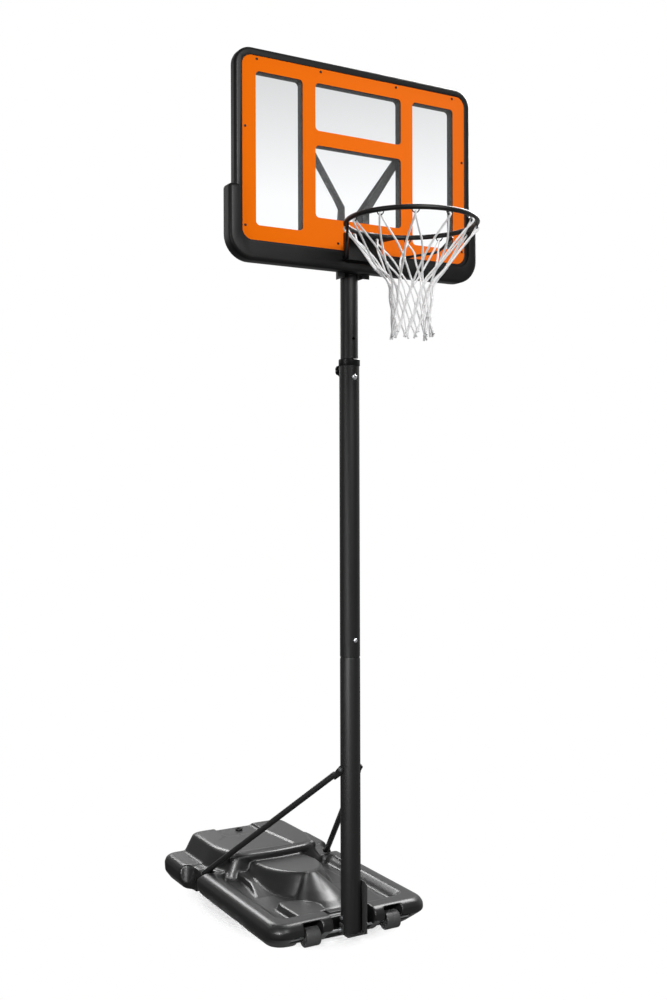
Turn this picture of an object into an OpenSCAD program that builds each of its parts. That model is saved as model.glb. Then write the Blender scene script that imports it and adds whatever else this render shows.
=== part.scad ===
// Portable basketball hoop: water tank base, three-tube pole, framed board, rim and net.
// Millimetres, +Z up, the rim faces -Y, origin on the floor under the middle of the hoop.

/* [Board] */
// Width of the board frame
board_w = 1063; // [1000:1:1200]
// Height of the board frame
board_h = 742; // [700:1:850]
// Depth of the board frame, front to back
frame_d = 46; // [40:1:60]
// Wall of the hollow board frame
frame_wall = 4; // [3:0.5:5]
// Outer corner radius of the board frame
frame_corner = 70; // [60:1:90]
// Width of the raised lip round the clear sheet
frame_lip = 30; // [26:1:36]
// How far the lip stands in front of the film
lip_proud = 3; // [1:0.5:5]
// Thickness of the clear sheet
sheet_t = 4; // [3:0.5:6]
// Thickness of the coloured border film
film_t = 0.5; // [0.3:0.1:1]
// Film margin between the sheet's edge and the windows
film_margin = 56; // [50:1:65]
// Width of a side window
side_window_w = 197; // [170:1:215]
// Width of the upright bars between the windows
mullion_w = 55; // [50:1:70]
// Height of the upper centre window
upper_window_h = 181; // [150:1:210]
// Height of the cross bar between the centre windows
transom_h = 56; // [50:1:70]
// Height of the sill below the lower centre window
sill_h = 114; // [105:1:125]
// Corner radius of the windows
window_corner = 16; // [8:1:24]
// Radius of the sheet screws
screw_r = 2; // [1.5:0.1:2.5]
// Radius of the sheet screw heads
screw_head_r = 5; // [4:0.5:6]

/* [Edge pad] */
// Thickness of the pad beside the frame
pad_wall = 27; // [20:1:34]
// Thickness of the pad below the frame
pad_bottom = 48; // [40:1:56]
// How far the pad's lips reach over the frame
pad_lip = 15; // [10:1:22]
// Thickness of the pad's lips
pad_lip_t = 10; // [6:1:14]
// Height of the pad's side legs above its bottom
pad_h = 277; // [220:1:320]

/* [Rim] */
// Height of the ring's centreline above the floor
ring_z = 2743; // [2700:1:2800]
// Inside diameter of the ring
ring_inner_d = 457; // [440:1:470]
// Diameter of the ring's rod
rod_d = 18; // [16:0.5:20]
// Distance from the film to the inside of the ring
ring_reach = 137; // [125:1:155]
// Height of the ring above the sheet's lower edge
rim_rise = 38; // [34:1:44]
// Width of the rim bracket
bracket_w = 144; // [136:1:160]
// Depth of the rim bracket
bracket_d = 42; // [36:1:50]
// Height of the bracket above the ring's centreline
bracket_up = 29; // [24:1:36]
// Height of the bracket below the ring's centreline
bracket_down = 80; // [74:1:84]
// Plate thickness of the bracket
bracket_t = 4; // [3:0.5:5]
// Width of the gusset plate where it meets the ring
gusset_w = 200; // [170:1:230]
// Diameter of the brace rods
brace_d = 10; // [8:0.5:12]
// Number of net hooks
hook_count = 12; // [10:1:14]
// Radius of a net hook's bend
hook_r = 12; // [11:0.5:14]
// Diameter of the hook wire
hook_wire_d = 4; // [3:0.5:4.5]
// Depth that welded rods sink into each other
weld = 1; // [0.5:0.1:1.5]

/* [Net] */
// Diameter of the net cord
net_cord_d = 5; // [4:0.5:5.5]
// Drop of the net below the ring's centreline
net_drop = 400; // [380:5:430]
// Radius of the net's narrow tube
net_tube_r = 70; // [64:1:85]

/* [Board arms] */
// Clear distance between the two arms
arm_gap = 82; // [78:1:90]
// Width of an arm's front flange
arm_flange = 30; // [26:1:34]
// Sheet thickness of the arms
arm_t = 3; // [2:0.5:4]
// Depth of an arm's side flange at the pole
arm_depth = 64; // [58:1:72]
// How far the arms reach below the board frame
arm_below = 63; // [55:1:72]
// Height of the bend above the sheet's lower edge
arm_bend = 180; // [165:1:195]
// Slant of the upper arm from the vertical
arm_slant = 33.7; // [31:0.1:36]
// Length of the slanted upper arm
arm_slant_len = 296; // [285:1:310]

/* [Pole] */
// Outside diameter of the lower and middle tubes
tube_d = 80; // [76:0.1:84]
// Outside diameter of the upper tube
mast_d = 70; // [66:0.1:70.4]
// Wall of all the tubes
tube_wall = 1.8; // [1.5:0.1:2]
// Radial clearance of the sliding mast in its collar
slide_clear = 0.08; // [0.05:0.01:0.1]
// Gap between the mast and the board frame
board_gap = 2.5; // [1:0.5:5]
// Height of the seam between the lower and middle tubes
seam_z = 1121; // [1050:1:1180]
// Length of the swaged end inside the middle tube
swage_len = 110; // [95:1:130]
// Height of the middle tube's top
middle_top = 2290; // [2250:1:2320]
// Length of the upper tube
mast_len = 1408; // [1350:1:1450]
// Height of the upper tube's top above the sheet's lower edge
mast_top_rise = 103; // [95:1:110]
// Height of the lock bolt below the middle tube's top
lock_drop = 67; // [60:1:80]
// Pitch of the index holes
index_pitch = 152.4; // [140:0.1:160]
// Height of the clamp knob below the middle tube's top
knob_drop = 32; // [28:1:38]
// Diameter of the clamp knob
knob_d = 50; // [42:1:56]
// Radius of the pole's bolts
bolt_r = 5; // [4:0.5:5.5]

/* [Struts] */
// Height of the struts' upper bolt
strut_top_z = 678; // [640:1:710]
// Distance of the strut feet behind the pole
strut_foot_y = 795; // [785:1:805]
// Height of the strut feet
strut_foot_z = 62; // [55:1:70]
// Diameter of the strut tube
strut_d = 25; // [20:0.5:28]
// Wall of the strut tube
strut_wall = 1.5; // [1:0.1:2.5]

/* [Base] */
// Width of the tank across its rails
tank_w = 716; // [690:1:740]
// Height of the rails
rail_h = 115; // [110:1:125]
// Height of the sunken deck
deck_h = 82; // [76:1:90]
// Width of the sunken deck
deck_w = 536; // [500:1:560]
// Distance of the tank's front face in front of the pole axis
tank_front = 35; // [30:1:42]
// Distance of the rails' rear end behind the pole axis
rail_end = 768; // [755:1:772]
// Width of the waist that the struts bolt to
waist_w = 644; // [620:1:650]
// Width of the rear lobes
lobe_w = 758; // [740:1:800]
// Height of the rear lobes
lobe_h = 112; // [106:1:125]
// Distance of the rear lobes' front behind the pole axis
lobe_front = 820; // [815:1:835]
// Distance of the tank's back behind the pole axis
tank_back = 1085; // [1060:1:1110]
// Height of the rear hump
hump_h = 188; // [182:1:205]
// Width of the hump's flat top
hump_w = 462; // [430:1:490]
// Wall of the blow-moulded tank
tank_wall = 4; // [3:0.5:6]
// Diameter of the wheels
wheel_d = 74; // [68:1:84]
// Width of a wheel
wheel_w = 62; // [56:1:68]
// Distance of a wheel's middle from the centre plane
wheel_x = 183; // [178:1:190]
// Height of the axle above the floor
axle_z = 46; // [44:0.5:52]
// Diameter of the axle rod
axle_d = 10; // [8:0.5:12]
// Running clearance of the wheels on the axle
wheel_clear = 0.08; // [0.05:0.01:0.1]
// Diameter of the fill cap
cap_d = 34; // [30:1:44]
// Depth of the recess round the fill cap
cap_recess = 12; // [8:1:18]

/* [Hidden] */
$fn = 48;
eps = 1;
fit_gap = 0.3;
hole_gap = 0.2;

// Colours
moulded_black = [0.10, 0.10, 0.11];
satin_black = [0.06, 0.06, 0.065];
dark_grey = [0.20, 0.20, 0.21];
zinc = [0.75, 0.75, 0.76];
film_orange = [0.96, 0.42, 0.04];
cord_white = [0.94, 0.94, 0.93];

// Board planes, measured from the pole axis
tube_r = tube_d / 2;
mast_r = mast_d / 2;
tube_inner_r = tube_r - tube_wall;
board_back = -(mast_r + board_gap);
board_front = board_back - frame_d;
film_front = board_front + lip_proud;
sheet_front = film_front + film_t;
sheet_back = sheet_front + sheet_t;
sheet_w = board_w - 2 * frame_lip;
sheet_h = board_h - 2 * frame_lip;
sheet_corner = frame_corner - frame_lip;
sheet_bottom = ring_z - rim_rise;
board_mid = sheet_bottom + sheet_h / 2;
frame_bottom = sheet_bottom - frame_lip;
centre_window_w = sheet_w - 2 * (film_margin + side_window_w + mullion_w);
lower_window_h = sheet_h - film_margin - upper_window_h - transom_h - sill_h;
screw_inset = 12;
screw_len = 14;
screw_beside_bracket = 24;
top_screw_shares = [0.44, 0.17];
side_screw_shares = [0.11, -0.425];
screw_places = [
  for (s = [-1, 1], share = top_screw_shares) [s * share * sheet_w, sheet_h / 2 - screw_inset],
  for (s = [-1, 1], share = side_screw_shares) [s * (sheet_w / 2 - screw_inset), share * sheet_h],
  for (s = [-1, 1]) [s * (bracket_w / 2 + screw_beside_bracket), screw_inset * 2 - sheet_h / 2]];

// Rim
rod_r = rod_d / 2;
ring_r = ring_inner_d / 2 + rod_r;
ring_y = film_front - ring_reach - ring_inner_d / 2;
ring_front = ring_y - ring_r - rod_r;
bracket_top = ring_z + bracket_up;
bracket_bottom = ring_z - bracket_down;
rim_bolt_r = 4;
rim_bolt_x = arm_gap / 2 + arm_flange / 2;
rim_bolt_z = [sheet_bottom - 16, ring_z + 10];
rim_bolt_places = [for (s = [-1, 1], z = rim_bolt_z) [s * rim_bolt_x, z]];
brace_r = brace_d / 2;
brace_angle = 16;
hook_z = ring_z - rod_r + weld;
hook_angles = [for (i = [0 : hook_count - 1]) i * 360 / hook_count];

// Pole
swage_r = tube_inner_r - 0.15;
mast_top = sheet_bottom + mast_top_rise;
mast_bottom = mast_top - mast_len;
lock_z = middle_top - lock_drop;
knob_z = middle_top - knob_drop;
joint_bolt_z = seam_z + 67;
collar_skirt = 20;
collar_cap = 6;
collar_t = 2.4;
tip_gap = 0.4;
clamp_nut_h = 12;
knob_h = 24;
scallops = 6;
scallop_r = 7;
scallop_out = knob_d / 2 + 2;
head_h = 6;
nut_h = 8;
arm_bolt_z = [sheet_bottom - 42, mast_top - 28];
arm_edge = arm_gap / 2;
arm_back = board_back + arm_t;
arm_low = frame_bottom - arm_below;
arm_bend_z = sheet_bottom + arm_bend;
arm_tip = [arm_edge + arm_slant_len * sin(arm_slant), arm_bend_z + arm_slant_len * cos(arm_slant)];
arm_screw_inset = 22;
arm_screw = arm_tip + arm_flange / 2 * [cos(arm_slant), -sin(arm_slant)]
  - arm_screw_inset * [sin(arm_slant), cos(arm_slant)];

// Struts and foot
plate_t = 4;
plate_in = tube_r + fit_gap;
plate_out = plate_in + plate_t;
foot_low = 30;
foot_top = 232;
foot_bolt_z = 92;
foot_front = 54;
foot_back = 14;
foot_chamfer = 14;
foot_step = 70;
waist_x = waist_w / 2;
strut_tab_t = 4;
strut_tab_edge = 3;
strut_r = strut_d / 2;
strut_top = [plate_in + strut_tab_t / 2, 0, strut_top_z];
strut_foot = [waist_x + fit_gap + strut_tab_t / 2, strut_foot_y, strut_foot_z];
insert_r = 7;
insert_len = 20;

// Base
rail_x = tank_w / 2;
lobe_x = lobe_w / 2;
axle_r = axle_d / 2;
wheel_r = wheel_d / 2;
wheel_dish = 5;
hub_wall = 8;
tread_wall = 11;
wheel_draft = 2;
pocket_gap = 10;
boss_w = 46;
pocket_x0 = wheel_x - wheel_w / 2 - pocket_gap;
pocket_x1 = wheel_x + wheel_w / 2 + pocket_gap;
groove_x1 = pocket_x1 + 44;
axle_half = groove_x1 + 10;
slot_x = pocket_x0 - boss_w;
slot_back = 50;
front_rail = 72;
rail_corner = 70;
rail_tuck = 40;
front_tuck = 85;
front_bulge = 66;
bulge_top = 86;
bevel = 22;
pocket_h = 106;
pocket_back = 66;
groove_back = 13;
groove_half_h = 18;
deck_end = 640;
deck_corner = 40;
dome_x = 138;
dome_y = 570;
dome_reach = 256;
dome_back = 700;
dome_h = 178;
dome_step = 12;
ramp_front = 376;
ramp_back = 610;
platform_x = 190;
platform_h = 116;
waist_tuck = 30;
lobe_corner = 55;
lobe_bevel_h = 32;
hump_front = 640;
hump_corner = 50;
hump_flare = 62;
hump_front_rake = 22;
hump_back_rake = 10;
hump_back = tank_back - 2;
taper_y = 805;
taper_turn = 18.7;
step_h = rail_h - 8;
flute_front_x = 82;
flute_back_x = 48;
flute_front = 150;
flute_back = 345;
flute_low = 92;
flute_high = 172;
step_outline = [[62, 66], [205, 66], [212, 215], [203, 252], [118, 246], [50, 150]];
lip_r = 20;
lip_x = 165;
lip_set = 12;
cap_x = -10;
cap_y = tank_back - 60;
cap_h = 8;
cap_floor = hump_h - cap_recess;
recess_x = -20;
recess_half = 102;
recess_front = tank_back - 155;
neck_r = cap_d / 2 - 5;
channel_far = 22;
channel_near = 110;
channel_low = strut_d * 1.2;
channel_outside = rail_x + 20;
channel_reach = 100;
channel_back = [waist_x - 24, strut_foot_y - 24];
channel_front_x = waist_x - 54;
channel_front = strut_foot_y - 14;

// Middle of the hoop from its ring to the tank's back, which the origin sits under
depth_mid = (tank_back + ring_front) / 2;

module in_frame() translate([0, -depth_mid, 0]) children();

module rounded_rect(w, h, r) {
  square([w - 2 * r, h], center = true);
  square([w, h - 2 * r], center = true);
  for (x = [-1, 1], y = [-1, 1])
    translate([x * (w / 2 - r), y * (h / 2 - r)]) circle(r = r);
}

// Board outline pieces lie in a plane through the board's middle, y_back is their rear face
module board_plane(y_back, depth)
  translate([0, y_back, board_mid]) rotate([90, 0, 0]) linear_extrude(depth) children();

// Side outline in Y and Z, extruded along X from x0
module side_plate(x0, t) translate([x0, 0, 0]) rotate([90, 0, 90]) linear_extrude(t) children();

module x_rod(r, x0, x1, y, z, sides = $fn)
  translate([x0, y, z]) rotate([0, 90, 0]) cylinder(r = r, h = x1 - x0, $fn = sides);

module y_rod(r, y0, y1, x, z, sides = $fn)
  translate([x, y0, z]) rotate([-90, 0, 0]) cylinder(r = r, h = y1 - y0, $fn = sides);

module x_ring(r_out, r_in, x0, x1, y, z, sides = $fn) difference() {
  x_rod(r_out, x0, x1, y, z, sides);
  x_rod(r_in, x0 - eps, x1 + eps, y, z);
}

module y_ring(r_out, r_in, y0, y1, x, z, sides = $fn) difference() {
  y_rod(r_out, y0, y1, x, z, sides);
  y_rod(r_in, y0 - eps, y1 + eps, x, z);
}

module rod_between(a, b, r) {
  d = b - a;
  translate(a) rotate([0, acos(d.z / norm(d)), atan2(d.y, d.x)]) cylinder(r = r, h = norm(d));
}

module tube(r, wall, z0, z1) difference() {
  translate([0, 0, z0]) cylinder(r = r, h = z1 - z0);
  translate([0, 0, z0 - eps]) cylinder(r = r - wall, h = z1 - z0 + 2 * eps);
}

// Hex-headed bolt along X through the pole, with its head on the left at one reach and its nut at another
module pole_bolt_x(head_x, reach_x, z) {
  x_rod(bolt_r * 1.8, -head_x - head_h, -head_x, 0, z, 6);
  x_rod(bolt_r, -head_x, reach_x + nut_h + 3, 0, z);
}

module pole_nut_x(reach_x, z)
  x_ring(bolt_r * 1.8, bolt_r + hole_gap / 2, reach_x, reach_x + nut_h, 0, z, 6);

// Board

module windows(grow) {
  for (s = [-1, 1]) translate([s * (sheet_w / 2 - film_margin - side_window_w / 2), 0])
    rounded_rect(side_window_w + 2 * grow, sheet_h - 2 * film_margin + 2 * grow, window_corner + grow);
  translate([0, sheet_h / 2 - film_margin - upper_window_h / 2])
    rounded_rect(centre_window_w + 2 * grow, upper_window_h + 2 * grow, window_corner + grow);
  translate([0, sill_h + lower_window_h / 2 - sheet_h / 2])
    rounded_rect(centre_window_w + 2 * grow, lower_window_h + 2 * grow, window_corner + grow);
}

module sheet_outline(gap) rounded_rect(sheet_w + 2 * gap, sheet_h + 2 * gap, sheet_corner + gap);

module sheet_screw_rods(r, y0, y1)
  for (p = screw_places) y_rod(r, y0, y1, p[0], board_mid + p[1]);

module rim_bolt_rods(r, y0, y1)
  for (p = rim_bolt_places) y_rod(r, y0, y1, p[0], p[1]);

module arm_screw_rods(r, y0, y1)
  for (s = [-1, 1]) y_rod(r, y0, y1, s * arm_screw[0], arm_screw[1]);

module board_frame() color(moulded_black) in_frame() difference() {
  board_plane(board_back, frame_d) difference() {
    rounded_rect(board_w, board_h, frame_corner);
    windows(0);
  }
  board_plane(sheet_back, frame_d) sheet_outline(fit_gap);
  board_plane(board_back - frame_wall, board_back - sheet_back - 2 * frame_wall) difference() {
    rounded_rect(board_w - 2 * frame_wall, board_h - 2 * frame_wall, frame_corner - frame_wall);
    windows(frame_wall);
  }
  translate([-bracket_w / 2 - 2, board_front - eps, frame_bottom - eps])
    cube([bracket_w + 4, lip_proud + eps, frame_lip + 2 * eps]);
  sheet_screw_rods(screw_r + hole_gap, sheet_back - eps, sheet_back + frame_wall + eps);
  rim_bolt_rods(rim_bolt_r + hole_gap, board_front - eps, board_back + eps);
  arm_screw_rods(screw_r + hole_gap, board_back - frame_wall - eps, board_back + eps);
}

module board_sheet() color([0.85, 0.9, 0.92, 0.35]) in_frame() difference() {
  board_plane(sheet_back, sheet_t) sheet_outline(0);
  sheet_screw_rods(screw_r + hole_gap, sheet_front - eps, sheet_back + eps);
  rim_bolt_rods(rim_bolt_r + hole_gap, sheet_front - eps, sheet_back + eps);
}

module border_film() color(film_orange) in_frame() difference() {
  board_plane(sheet_front, film_t) difference() {
    sheet_outline(0);
    windows(0);
  }
  sheet_screw_rods(screw_r + hole_gap, film_front - eps, sheet_front + eps);
  rim_bolt_rods(rim_bolt_r + hole_gap, film_front - eps, sheet_front + eps);
}

module sheet_screws() color(satin_black) in_frame() {
  sheet_screw_rods(screw_head_r, film_front - 2, film_front);
  sheet_screw_rods(screw_r, film_front - eps, film_front + screw_len);
}

// U-shaped channel on the board's lower edge, open for the bracket in front and the arms behind
module edge_pad() color(satin_black) in_frame() {
  pad_low = frame_bottom - pad_bottom;
  front = board_front - fit_gap - pad_lip_t;
  back = board_back + fit_gap + pad_lip_t;
  arm_room = arm_gap / 2 + arm_flange + 12;
  difference() {
    board_plane(back, back - front) translate([0, (pad_wall - pad_bottom) / 2])
      rounded_rect(board_w + 2 * pad_wall, board_h + pad_wall + pad_bottom, frame_corner + pad_wall);
    board_plane(board_back + fit_gap, frame_d + 2 * fit_gap)
      rounded_rect(board_w + 2 * fit_gap, board_h + 2 * fit_gap, frame_corner + fit_gap);
    board_plane(back + eps, back - front + 2 * eps)
      rounded_rect(board_w - 2 * pad_lip, board_h - 2 * pad_lip, frame_corner - pad_lip);
    translate([-board_w, front - eps, pad_low + pad_h])
      cube([2 * board_w, back - front + 2 * eps, board_h + 2 * pad_wall]);
    translate([-arm_room, board_back - fit_gap, pad_low - eps])
      cube([2 * arm_room, back - board_back + fit_gap + eps, pad_h]);
    translate([-bracket_w / 2 - brace_d - 2, front - eps, bracket_bottom - 4])
      cube([bracket_w + 2 * brace_d + 4, film_front + fit_gap - front + eps, pad_h]);
  }
}

// Rim

module rim_ring() color(satin_black) in_frame()
  translate([0, ring_y, ring_z]) rotate_extrude() translate([ring_r, 0]) circle(r = rod_r);

// Folded box, open below, with a gusset plate that reaches the ring
module rim_bracket() color(satin_black) in_frame() {
  half = bracket_w / 2;
  h = bracket_top - bracket_bottom;
  gusset_y = ring_y + sqrt(pow(ring_r, 2) - pow(gusset_w / 2, 2));
  difference() {
    union() {
      translate([-half, film_front - bracket_t, bracket_bottom]) cube([bracket_w, bracket_t, h]);
      for (x = [-half, half - bracket_t]) translate([x, film_front - bracket_d, bracket_bottom])
        cube([bracket_t, bracket_d, h]);
      translate([-half, film_front - bracket_d, bracket_bottom])
        cube([bracket_w, bracket_t, ring_z - bracket_bottom]);
      translate([0, 0, ring_z - bracket_t / 2]) linear_extrude(bracket_t) difference() {
        polygon([[-half, film_front], [-half, film_front - bracket_d], [-gusset_w / 2, gusset_y],
          [gusset_w / 2, gusset_y], [half, film_front - bracket_d], [half, film_front]]);
        translate([0, ring_y]) circle(r = ring_r + rod_r - weld);
      }
    }
    rim_bolt_rods(rim_bolt_r + hole_gap, film_front - bracket_t - eps, film_front + eps);
  }
}

// Bent rod from the bracket's lower corner to the ring's underside, on the right
module brace_rod() {
  start = [bracket_w / 2 + brace_r - weld, film_front - bracket_d / 2, bracket_bottom + brace_r + 4];
  end = [ring_r * cos(brace_angle), ring_y + ring_r * sin(brace_angle), ring_z - rod_r - brace_r + weld];
  bend = [end.x - 26, end.y + 52, start.z + 8];
  rod_between(start, bend, brace_r);
  translate(bend) sphere(r = brace_r + 0.2);
  rod_between(bend, end, brace_r);
}

module right_brace() color(satin_black) in_frame() brace_rod();

module left_brace() color(satin_black) in_frame() mirror([1, 0, 0]) brace_rod();

module net_hooks() color(satin_black) in_frame() for (a = hook_angles)
  translate([0, ring_y, hook_z]) rotate([0, 0, a]) translate([ring_r, 0, 0]) rotate([0, 90, 0])
    rotate([0, 0, -90]) rotate_extrude(angle = 180) translate([hook_r, 0]) circle(r = hook_wire_d / 2);

module rim_bolts() color(satin_black) in_frame() for (p = rim_bolt_places) {
  y_rod(rim_bolt_r * 1.8, film_front - bracket_t - head_h, film_front - bracket_t, p[0], p[1], 6);
  y_rod(rim_bolt_r, film_front - bracket_t, arm_back + nut_h + 2, p[0], p[1]);
}

module rim_nuts() color(zinc) in_frame() for (p = rim_bolt_places)
  y_ring(rim_bolt_r * 1.8, rim_bolt_r + hole_gap / 2, arm_back, arm_back + nut_h, p[0], p[1], 6);

// Net: one cord over each hook, whose two ends run down and cross their neighbours' at every row.
// Ends that run one way hang outside, and ends that run the other way hang inside them

net_rows = [[0.40, 0.36], [0.56, 0.08], [0.71, 0.01], [0.86, 0], [1, 0.02]];
cord_sides = 6;
cord_half_gap = net_cord_d / 2 + 0.2;
loop_slack = 1.8;

function polar(a, r, z) = [r * cos(a), ring_y + r * sin(a), z];

// Points down one end of a cord, which steps half a hook sideways at each row
function net_end(a, step) = [for (i = [0 : len(net_rows) - 1])
  polar(a + step * (i + 1) * 180 / hook_count,
    net_tube_r + (ring_r - net_tube_r) * net_rows[i][1] - step * cord_half_gap,
    ring_z - net_drop * net_rows[i][0])];

// Points over a hook's wire, from the outside to the inside
function hook_loop(a) =
  let (low = hook_z - hook_r, r = (hook_wire_d + net_cord_d) / 2 + loop_slack)
  [for (turn = [0 : 36 : 180]) polar(a, ring_r + r * cos(turn), low + r * sin(turn))];

function net_cord(a) = concat([for (i = [len(net_rows) - 1 : -1 : 0]) net_end(a, -1)[i]],
  hook_loop(a), net_end(a, 1));

function unit(v) = v / norm(v);

function cord_ring(p, t, a) =
  let (n = unit(cross(t, [-sin(a), cos(a), 0])), b = cross(n, t))
  [for (k = [0 : cord_sides - 1])
    p + net_cord_d / 2 * (n * cos(k * 360 / cord_sides) + b * sin(k * 360 / cord_sides))];

module swept_cord(pts) {
  last = len(pts) - 1;
  rings = [for (i = [0 : last])
    let (t = unit(pts[min(i + 1, last)] - pts[max(i - 1, 0)]), a = atan2(pts[i].y - ring_y, pts[i].x))
    each cord_ring(pts[i], t, a)];
  sides = [for (i = [0 : last - 1], k = [0 : cord_sides - 1])
    let (a = i * cord_sides + k, b = i * cord_sides + (k + 1) % cord_sides)
    each [[a, b, b + cord_sides], [a, b + cord_sides, a + cord_sides]]];
  caps = [for (k = [1 : cord_sides - 2]) each [[0, k + 1, k],
    [last * cord_sides, last * cord_sides + k, last * cord_sides + k + 1]]];
  polyhedron(rings, concat(sides, caps));
}

module net() color(cord_white) in_frame() for (a = hook_angles) swept_cord(net_cord(a));

// Board arms

// Outline along an arm's inner edge, w wide
module arm_outline(w) polygon([[arm_edge, arm_low], [arm_edge, arm_bend_z], arm_tip,
  arm_tip + w * [cos(arm_slant), -sin(arm_slant)],
  [arm_edge + w, arm_bend_z - w * tan(arm_slant / 2)], [arm_edge + w, arm_low]]);

module upright_plate(y_back, depth)
  translate([0, y_back, 0]) rotate([90, 0, 0]) linear_extrude(depth) children();

// Pressed angle: a flange behind the frame and a side flange that tapers towards the top
module arm() difference() {
  union() {
    upright_plate(arm_back, arm_t) arm_outline(arm_flange);
    intersection() {
      upright_plate(board_back + arm_depth, arm_depth) arm_outline(arm_t);
      side_plate(arm_edge - eps, arm_slant_len) polygon([[board_back, arm_low],
        [board_back + arm_depth, arm_low], [board_back + arm_depth, sheet_bottom + mast_top_rise],
        [board_back + arm_t * 2, arm_tip[1]], [board_back, arm_tip[1]]]);
    }
  }
  rim_bolt_rods(rim_bolt_r + hole_gap, board_back - eps, arm_back + eps);
  arm_screw_rods(screw_r + hole_gap, board_back - eps, arm_back + eps);
  for (z = arm_bolt_z) x_rod(bolt_r + hole_gap, arm_edge - eps, arm_edge + arm_t + eps, 0, z);
}

module right_arm() color(dark_grey) in_frame() arm();

module left_arm() color(dark_grey) in_frame() mirror([1, 0, 0]) arm();

module arm_bolts() color(zinc) in_frame() for (z = arm_bolt_z)
  pole_bolt_x(arm_edge + arm_t, arm_edge + arm_t, z);

module arm_nuts() color(zinc) in_frame() for (z = arm_bolt_z) pole_nut_x(arm_edge + arm_t, z);

module arm_spacers() color(satin_black) in_frame() for (z = arm_bolt_z, s = [0, 1]) mirror([s, 0, 0])
  x_ring(bolt_r * 2, bolt_r + hole_gap, mast_r + hole_gap, arm_edge, 0, z);

module arm_top_screws() color(zinc) in_frame() {
  arm_screw_rods(screw_head_r, arm_back, arm_back + 3);
  arm_screw_rods(screw_r, board_back - screw_len + arm_t, arm_back + eps);
}

// Pole

module upper_tube() color(satin_black) in_frame() difference() {
  tube(mast_r, tube_wall, mast_bottom, mast_top);
  for (i = [-2 : 1]) y_rod(bolt_r + 1, -mast_r - eps, 0, 0, lock_z + i * index_pitch);
  for (z = arm_bolt_z) x_rod(bolt_r + hole_gap, -mast_r - eps, mast_r + eps, 0, z);
}

module middle_tube() color(satin_black) in_frame() difference() {
  tube(tube_r, tube_wall, seam_z + fit_gap, middle_top);
  y_rod(bolt_r + hole_gap, -tube_r - eps, 0, 0, lock_z);
  y_rod(bolt_r + tip_gap, 0, tube_r + eps, 0, knob_z);
  y_rod(bolt_r + hole_gap, -tube_r - eps, tube_r + eps, 0, joint_bolt_z);
}

module lower_tube() color(satin_black) in_frame() difference() {
  union() {
    tube(tube_r, tube_wall, foot_low + plate_t, seam_z);
    tube(swage_r, tube_wall, seam_z - 2 * tube_wall, seam_z + swage_len);
    tube(tube_r, tube_r - swage_r + tube_wall, seam_z - tube_wall, seam_z);
  }
  y_rod(bolt_r + hole_gap, -tube_r - eps, tube_r + eps, 0, joint_bolt_z);
  for (z = [strut_top_z, foot_bolt_z]) x_rod(bolt_r + hole_gap, -tube_r - eps, tube_r + eps, 0, z);
  x_rod(axle_r + hole_gap, -tube_r - eps, tube_r + eps, 0, axle_z);
}

module joint_bolt() color(zinc) in_frame() {
  y_rod(bolt_r * 1.8, -tube_r - fit_gap - head_h, -tube_r - fit_gap, 0, joint_bolt_z);
  y_rod(bolt_r, -tube_r - fit_gap, tube_r + nut_h + 3, 0, joint_bolt_z);
}

module joint_nut() color(zinc) in_frame()
  y_ring(bolt_r * 1.8, bolt_r + hole_gap / 2, tube_r + fit_gap, tube_r + fit_gap + nut_h, 0, joint_bolt_z, 6);

// Guide collar: a skirt over the middle tube and a lip that the mast slides in
module collar() color(satin_black) in_frame() rotate_extrude() polygon([
  [tube_r + hole_gap / 2, middle_top - collar_skirt], [tube_r + collar_t, middle_top - collar_skirt],
  [tube_r + collar_t, middle_top + collar_cap - 2], [tube_r + collar_t - 2, middle_top + collar_cap],
  [mast_r + slide_clear, middle_top + collar_cap], [mast_r + slide_clear, middle_top],
  [tube_r + hole_gap / 2, middle_top]]);

module lock_bolt() color(zinc) in_frame() {
  y_rod(bolt_r * 2.2, -tube_r - fit_gap - head_h * 0.7, -tube_r - fit_gap, 0, lock_z);
  y_rod(bolt_r, -tube_r - fit_gap, -mast_r - tip_gap, 0, lock_z);
}

module clamp_nut() color(satin_black) in_frame()
  y_ring(bolt_r * 1.8, bolt_r + wheel_clear, tube_r, tube_r + clamp_nut_h, 0, knob_z, 6);

module clamp_screw() color(zinc) in_frame()
  y_rod(bolt_r, mast_r + tip_gap, tube_r + clamp_nut_h + fit_gap, 0, knob_z);

// Knob moulded round the end of the clamp screw, with gripping scallops
module clamp_knob() color(satin_black) in_frame() difference() {
  y_rod(knob_d / 2, tube_r + clamp_nut_h + fit_gap, tube_r + clamp_nut_h + fit_gap + knob_h, 0, knob_z);
  for (i = [1 : scallops]) y_rod(scallop_r, tube_r, tube_r + clamp_nut_h + knob_h + 2 * eps,
    scallop_out * cos(i * 360 / scallops), knob_z + scallop_out * sin(i * 360 / scallops));
}

// Struts

module strut_tab(p, dir, hole) {
  tilt = atan2(dir.z, dir.y);
  side_plate(p.x - strut_tab_t / 2, strut_tab_t) difference() {
    translate([p.y, p.z]) rotate(tilt) union() {
      circle(r = strut_r + strut_tab_edge);
      translate([0, -strut_r]) square([3 * strut_d, strut_d]);
    }
    translate([p.y, p.z]) circle(r = hole);
  }
}

// Tube with flattened ends that lie against the pole and the tank's waist
module strut() {
  d = strut_foot - strut_top;
  along = d / norm(d);
  strut_tab(strut_top, d, bolt_r + hole_gap);
  strut_tab(strut_foot, -d, bolt_r + hole_gap);
  difference() {
    rod_between(strut_top + along * 2 * strut_d, strut_foot - along * 2 * strut_d, strut_r);
    rod_between(strut_top + along * strut_d, strut_foot - along * strut_d, strut_r - strut_wall);
  }
}

module right_strut() color(satin_black) in_frame() strut();

module left_strut() color(satin_black) in_frame() mirror([1, 0, 0]) strut();

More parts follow.
